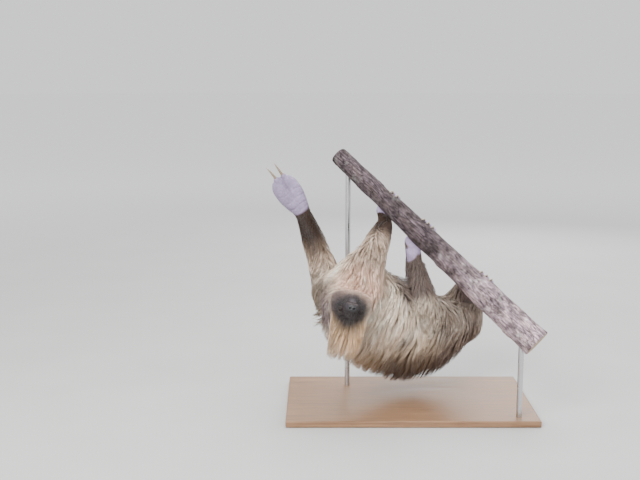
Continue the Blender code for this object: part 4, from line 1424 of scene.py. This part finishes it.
# ---- the coat ----
class Ground:
    """The skin's faces as arrays, with all that the coat needs to know of each."""

    def __init__(self, skin, envelope):
        mesh = skin.data
        self.places = rows_of(mesh, "co")
        polygons = [tuple(polygon.vertices) for polygon in mesh.polygons]
        self.corners = np.array([(p[0], p[1], p[2], p[-1]) for p in polygons])
        self.tree = BVHTree.FromPolygons(self.places.tolist(), polygons)
        self.centre = self.places[self.corners].mean(axis=1)
        self.normal = unit(rows_of(mesh, "normal")[self.corners].mean(axis=1))
        self.area = np.empty(len(polygons))
        mesh.polygons.foreach_get("area", self.area)
        self.parts = Parts(self.centre)
        self.bare = bare_share(self.centre, self.normal)
        self.depth = self.coat_depth(envelope)
        self.length = self.coat_length()
        self.flow = self.coat_flow()

    def coat_depth(self, envelope):
        """How far the coat's surface stands off each face."""
        depth = np.empty(len(self.centre))
        reach = 2.2 + 1.2 * self.parts.weight("head")
        for spot, (centre, normal) in enumerate(zip(self.centre, self.normal)):
            start = Vector(centre)
            hit = envelope.ray_cast(start, Vector(normal), 0.2)
            near = envelope.find_nearest(start)
            inside = (near[0] - start).dot(near[1]) > 0
            depth[spot] = min(hit[3], near[3] * reach[spot]) if inside and hit[0] else 0.0015
        for side in SIDES:
            for part, wrist in (("arm", 1.95), ("leg", 1.85)):
                name = f"{part}_{side}"
                hand = self.parts.weight(name) * ramp(self.parts.travel[name], wrist, wrist + 0.3)
                depth = depth * (1 - 0.75 * hand)
        return np.maximum(depth, 0.0008)

    def coat_length(self):
        """The hair's own length on each face; hanging hair reaches the coat's surface."""
        parts, rise = self.parts, self.normal[:, 2]
        _, forward, crown = in_head(self.centre).T
        trunk = parts.weight("trunk")
        length = np.full(len(self.centre), TRUNK_HAIR)
        length -= BELLY_SHORTER * ramp(rise, 0.1, 0.8) * trunk
        length += BACK_LONGER * ramp(rise, -0.2, -0.8) * trunk
        for side in SIDES:
            for part in ("arm", "leg"):
                travel, weight = parts.travel[f"{part}_{side}"], parts.weight(f"{part}_{side}")
                limb_length = (LIMB_HAIR - LOWER_LIMB_SHORTER * ramp(travel, 0.8, 1.8)
                               - WRIST_SHORTER * ramp(travel, 1.8, 2.4))
                length = length * (1 - weight) + limb_length * weight
        head = parts.weight("head", 0.012)
        on_crown = ramp(crown, 0.000, 0.040) * ramp(forward, 0.040, 0.005)
        head_length = FACE_HAIR + NAPE_LONGER * ramp(forward, 0.055, -0.010) + CROWN_LONGER * on_crown
        length = length * (1 - head) + head_length * head
        neck = parts.weight("neck", 0.012)
        length = length + NECK_LONGER * neck * ramp(rise, 0.0, -0.7)
        shoulder = parts.weight("arm_left") * ramp(parts.travel["arm_left"], 0.6, 0.2)
        length = length + SHOULDER_LONGER * shoulder * ramp(rise, 0.3, -0.5)
        hanging = ramp(rise, -0.1, -0.8) * (trunk + neck)
        return np.maximum(length, 1.25 * self.depth * np.clip(hanging, 0, 1))

    def coat_flow(self):
        """The way the hair lies: down, leaning to the head on the trunk, and away from the nose."""
        forward = in_head(self.centre)[:, 1]
        head = self.parts.weight("head", 0.012)
        lean = self.parts.weight("trunk")[:, None] * HEADWARD
        swirl = np.stack([waves(self.centre, 0.045, seed) for seed in (31, 32, 33)], axis=1)
        around = (self.centre - np.array(HEAD_CENTRE)) * np.array((1.0, 1.0, 0.0))
        splay = head[:, None] * around * 4.5
        flow = unit(GRAVITY + lean + splay + 0.16 * swirl)
        from_nose = unit(in_head(self.centre) - np.array((0.0, 0.078, -0.002))) @ HEAD_AXES
        return unit(mix(flow, from_nose, head * ramp(forward, -0.005, 0.045)))

    def nearest(self, points):
        """The face nearest to each point."""
        found = self.tree.find_nearest
        return np.array([found(point)[2] for point in points])


def choose_roots(ground, chance):
    """The locks' roots and their faces: more where the hair is short, none on bare skin."""
    fineness = np.clip(0.030 / ground.length, 0.45, 2.2)
    crown = ramp(in_head(ground.centre)[:, 2], 0.005, 0.030)
    fineness = np.maximum(fineness, (0.85 + 0.65 * crown) * ground.parts.weight("head"))
    weight = ground.area * (1 - ground.bare) ** 2 * fineness * (ground.bare < 0.6)
    expected = weight / weight.sum() * LOCK_TARGET
    number = np.floor(expected + chance.uniform(size=len(expected))).astype(int)
    faces = np.repeat(np.arange(len(number)), number)
    corners = ground.places[ground.corners[faces]]
    u, v = chance.uniform(size=(2, len(faces), 1))
    low = corners[:, 0] * (1 - u) + corners[:, 1] * u
    high = corners[:, 3] * (1 - u) + corners[:, 2] * u
    return faces, low * (1 - v) + high * v


def grow_guides(ground, faces, roots, chance, envelope):
    """Paths of the guide hairs, stepping along the flow between the skin and the coat's surface."""
    count = len(faces)
    path = np.empty((count, GUIDE_STEPS + 1, 3))
    path[:, 0] = roots
    lumps = 0.5 + 0.5 * np.clip(waves(roots, 0.022, 41), -1, 1)
    rise = 0.72 + 0.28 * lumps + chance.uniform(-0.12, 0.12, size=count)
    length = ground.length[faces] * (0.86 + 0.20 * lumps + chance.uniform(-0.12, 0.12, size=count))
    where, point, climb = faces, roots, np.zeros(count)
    for step in range(1, GUIDE_STEPS + 1):
        share = step / GUIDE_STEPS
        normal, flow = ground.normal[where], ground.flow[where]
        outward = (flow * normal).sum(axis=1, keepdims=True)
        lift = 0.55 * (1 - share) + 0.05
        heading = flow - normal * outward + normal * np.maximum(outward, 0.0) * 0.75 + normal * lift
        point = point + unit(heading) * (length / GUIDE_STEPS)[:, None]
        where = ground.nearest(point)
        normal, depth = ground.normal[where], ground.depth[where]
        height = ((point - ground.centre[where]) * normal).sum(axis=1)
        lowest = depth * rise * (0.10 + 0.80 * share ** 0.8)
        lowest = np.minimum(lowest, climb + CLIMB_LIMIT * length / GUIDE_STEPS)
        highest = depth * np.minimum(0.30 + 0.9 * share, 1.0)
        climb = np.clip(height, lowest, np.maximum(highest, lowest))
        point = point + normal * (climb - height)[:, None]
        path[:, step] = point
    return reach_out(straighten_tips(path), ground, where, envelope)


def straighten_tips(path):
    """Turn a last step that kinks away from the hair's run back into it."""
    run, last = path[:, -2] - path[:, -4], path[:, -1] - path[:, -2]
    kink = ramp((unit(run) * unit(last)).sum(axis=1), 0.88, 0.62)
    reach = np.linalg.norm(last, axis=1)[:, None]
    path[:, -1] = path[:, -2] + unit(mix(unit(last), unit(run), kink)) * reach
    return path


def reach_out(path, ground, where, envelope):
    """Lengthen the hanging guides whose tips stay short of the coat's surface."""
    heading = unit(path[:, -1] - path[:, -3])
    hanging = ramp((heading * ground.normal[where]).sum(axis=1), 0.20, 0.55)
    share = np.linspace(0, 1, path.shape[1])
    for spot in np.nonzero(hanging > 0)[0]:
        hit = envelope.ray_cast(Vector(path[spot, -1]), Vector(heading[spot]), 0.06)
        if hit[0] and hit[1].dot(Vector(heading[spot])) > 0:
            path[spot] += heading[spot] * (share ** 1.5 * hit[3] * 0.95 * hanging[spot])[:, None]
    return path


def follow_guides(roots, guide_roots, guide_paths, chance):
    """Each lock starts at its own root and closes on its guide towards the tip."""
    tree = KDTree(len(guide_roots))
    for number, root in enumerate(guide_roots):
        tree.insert(root, number)
    tree.balance()
    guide = np.array([tree.find(root)[1] for root in roots])
    share = np.linspace(0, 1, GUIDE_STEPS + 1)[None, :, None]
    offset = (roots - guide_roots[guide])[:, None, :]
    gather = chance.uniform(0.25, 0.80, size=(len(roots), 1, 1))
    return guide_paths[guide] + offset * (1 - gather * share), guide


def resample(path, count):
    """The paths at count even places."""
    steps = path.shape[1] - 1
    wanted = np.linspace(0, steps, count)
    low = np.minimum(wanted.astype(int), steps - 1)
    share = (wanted - low)[None, :, None]
    return path[:, low] * (1 - share) + path[:, low + 1] * share


def wave_locks(path, ground, faces, chance):
    """Bend each lock to and fro a little, more towards its tip."""
    size = np.minimum(0.0030, ground.length[faces] * 0.045)
    size = (size * chance.uniform(0.2, 1.3, size=len(path)))[:, None, None]
    sway = unit(np.cross(path[:, -1] - path[:, 0], ground.normal[faces]))[:, None, :]
    turn = chance.uniform(0, 2 * math.pi, size=(len(path), 1, 1))
    bends = chance.uniform(3.0, 7.0, size=(len(path), 1, 1))
    share = np.linspace(0, 1, path.shape[1])[None, :, None]
    return path + sway * size * np.sin(turn + bends * share) * share


def lock_widths(ground, faces, chance):
    """Longer hair stands in wider locks, and the head's are finer."""
    width = np.clip(0.00040 + 0.0140 * ground.length[faces], 0.0005, 0.0014)
    width = width * (0.55 + 0.95 * chance.uniform(size=len(faces)) ** 1.6)
    return width * (1 - 0.25 * ground.parts.weight("head")[faces])


def lock_triangles(rings):
    """Corner numbers of one lock: rings of three corners, then the tip."""
    tip = rings * 3
    faces = [(0, 2, 1)]
    for ring in range(rings - 1):
        for corner in range(3):
            a, b = ring * 3 + corner, ring * 3 + (corner + 1) % 3
            faces += [(a, b, b + 3), (a, b + 3, a + 3)]
    for corner in range(3):
        faces.append((tip - 3 + corner, tip - 3 + (corner + 1) % 3, tip))
    return np.array(faces)


def lock_places(path, normal, width):
    """Corners of the locks: flattened three-sided sections that narrow to the tip."""
    count = path.shape[1]
    heading = np.empty_like(path)
    heading[:, 1:-1] = path[:, 2:] - path[:, :-2]
    heading[:, 0] = path[:, 1] - path[:, 0]
    heading[:, -1] = path[:, -1] - path[:, -2]
    heading = unit(heading)
    side = unit(np.cross(heading, normal[:, None, :]))
    up = np.cross(side, heading)[:, :-1]
    half = (np.array(RING_WIDTHS[count])[None, :, None] * width[:, None, None]) / 2
    rings, side = path[:, :-1], side[:, :-1]
    corners = np.stack((rings + up * half * 0.62, rings - side * half - up * half * 0.31,
                        rings + side * half - up * half * 0.31), axis=2)
    return np.concatenate((corners.reshape(len(path), -1, 3), path[:, -1:]), axis=1)


def lock_colours(path, guide, chance):
    """Tints along the locks: darker at the root, partly the hair's own colour and partly painted shade deep
    in the coat, paler at the tip, varied by clump and by lock.
    """
    here = markings(path.reshape(-1, 3)).reshape(path.shape)
    base = here * 0.75 + here[:, :1] * 0.25
    clump = chance.normal(0.0, 1.0, size=guide.max() + 1)[guide]
    own = chance.normal(0.0, 1.0, size=len(path))
    value = np.clip(1.0 + 0.12 * clump + 0.08 * own, 0.6, 1.5)
    pale = np.clip(0.16 * clump + 0.14 * own - 0.05, 0.0, 0.5)[:, None] * ramp(base.mean(axis=2), 0.12, 0.35)
    tinted = mix(base * value[:, None, None], CREAM, pale)
    share = np.linspace(0, 1, path.shape[1])[None, :, None]
    # darker towards the root: partly the hair's own colour, partly painted shade deep in the coat
    return np.clip(tinted * (0.86 + 0.26 * share), 0.0, 1.0)


def unwrap(points, name):
    """Places on the part's unrolled surface: the angle about its middle line and the way along it."""
    line, _ = bones()[name]
    _, travel, offset = along_line(points, line)
    overall = unit(line[-1] - line[0])
    pole = np.array((0.0, 0.0, 1.0)) if abs(overall[2]) < 0.9 else np.array((0.0, 1.0, 0.0))
    level = unit(np.cross(overall, pole))
    angle = np.arctan2(offset @ level, offset @ np.cross(level, overall))
    chart = np.stack((angle, travel + (offset @ overall) * 6.0), axis=1)
    low, high = chart.min(axis=0), chart.max(axis=0)
    return 0.01 + 0.98 * (chart - low) / np.maximum(high - low, 1e-6)


def coat_piece_names(ground, faces):
    """The coat piece that each root belongs to, and the part of the body."""
    parts = np.array(ground.parts.names)[ground.parts.label[faces]]
    travel = ground.parts.travel["trunk"][faces]
    side = ground.parts.offset["trunk"][faces] @ np.array(ACROSS_TRUNK)
    third = np.where(travel < 2.6, "rump_", np.where(travel < 5.2, "loin_", "chest_"))
    trunk = np.char.add(third, np.where(side > 0, "left", "right"))
    crown = in_head(ground.centre[faces])[:, 2] > 0.012
    head = np.where(crown, "head_crown", "head_face")
    return np.where(parts == "trunk", trunk, np.where(parts == "head", head, parts)), parts


def build_coat_piece(name, part, ground, faces, path, guide, chance, material):
    """One mesh of locks with its tints, its strand coordinates and its OFBake map."""
    count = PATH_POINTS[part.split("_")[0]]
    path = resample(path, count)
    path[:, 0] -= ground.normal[faces] * 0.0012
    path = wave_locks(path, ground, faces, chance)
    places = lock_places(path, ground.normal[faces], lock_widths(ground, faces, chance))
    per_lock = places.shape[1]
    starts = (np.arange(len(path)) * per_lock)[:, None, None]
    triangles = (starts + lock_triangles(count - 1)[None]).reshape(-1, 3)
    mesh = mesh_from_triangles(name, places.reshape(-1, 3), triangles)
    tints = lock_colours(path, guide, chance)
    corner_tints = np.concatenate((np.repeat(tints[:, :-1], 3, axis=1), tints[:, -1:]), axis=1)
    paint(mesh, "tint", corner_tints.reshape(-1, 3))
    ring_share = np.concatenate((np.repeat(np.linspace(0, 1, count)[:-1], 3), (1.0,)))
    ring_side = np.concatenate((np.tile((0.5, 0.0, 1.0), count - 1), (0.5,)))
    strand = np.empty((len(path), per_lock, 3))
    strand[:, :, 0] = ring_side[None]
    strand[:, :, 1] = ring_share[None] * (ground.length[faces] / 0.03)[:, None]
    strand[:, :, 2] = chance.uniform(0, 50, size=len(path))[:, None]
    store(mesh, "strand", strand.reshape(-1, 3))
    patch = np.stack((ring_side - 0.5, ring_share - 0.5), axis=1) * BAKE_PATCH
    spots = (unwrap(path[:, 0], part)[:, None, :] + patch[None]).reshape(-1, 2)
    layer = mesh.uv_layers.new(name="OFBake")
    layer.data.foreach_set("uv", spots[triangles.ravel()].ravel())
    mesh.materials.append(material)
    piece = new_object(name, mesh)
    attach(piece, "root")


def build_coat(skin):
    chance = np.random.default_rng(SEED)
    envelope = build_envelope()
    ground = Ground(skin, envelope)
    faces, roots = choose_roots(ground, chance)
    every = np.clip(np.round(ground.length[faces] / 0.006), 3, 13)    # locks to a guide
    is_guide = chance.uniform(size=len(faces)) < 1 / every
    guide_paths = grow_guides(ground, faces[is_guide], roots[is_guide], chance, envelope)
    path, guide = follow_guides(roots, roots[is_guide], guide_paths, chance)
    names, parts = coat_piece_names(ground, faces)
    material = coat_material()
    for name in sorted(set(names)):
        group = names == name
        build_coat_piece(f"coat_{name}", parts[group][0], ground, faces[group], path[group],
                         guide[group], chance, material)


# ---- assembly ----
def dress_stand():
    wood, steel = stand_wood_material(), stand_steel_material()
    for name, material in (("stand_base", wood), ("stand_rod_rear", steel), ("stand_rod_front", steel)):
        NODES[name].data.materials.clear()
        NODES[name].data.materials.append(material)


def main():
    make_camera()
    make_lights()
    make_floor()
    skin = build_skin()
    dress_skin(skin)
    eye = eye_material()
    build_eye(1, "right", eye)
    build_eye(-1, "left", eye)
    build_lids(skin.data.materials[0])
    build_nose()
    build_claws()
    build_perch()
    dress_stand()
    build_coat(skin)


main()
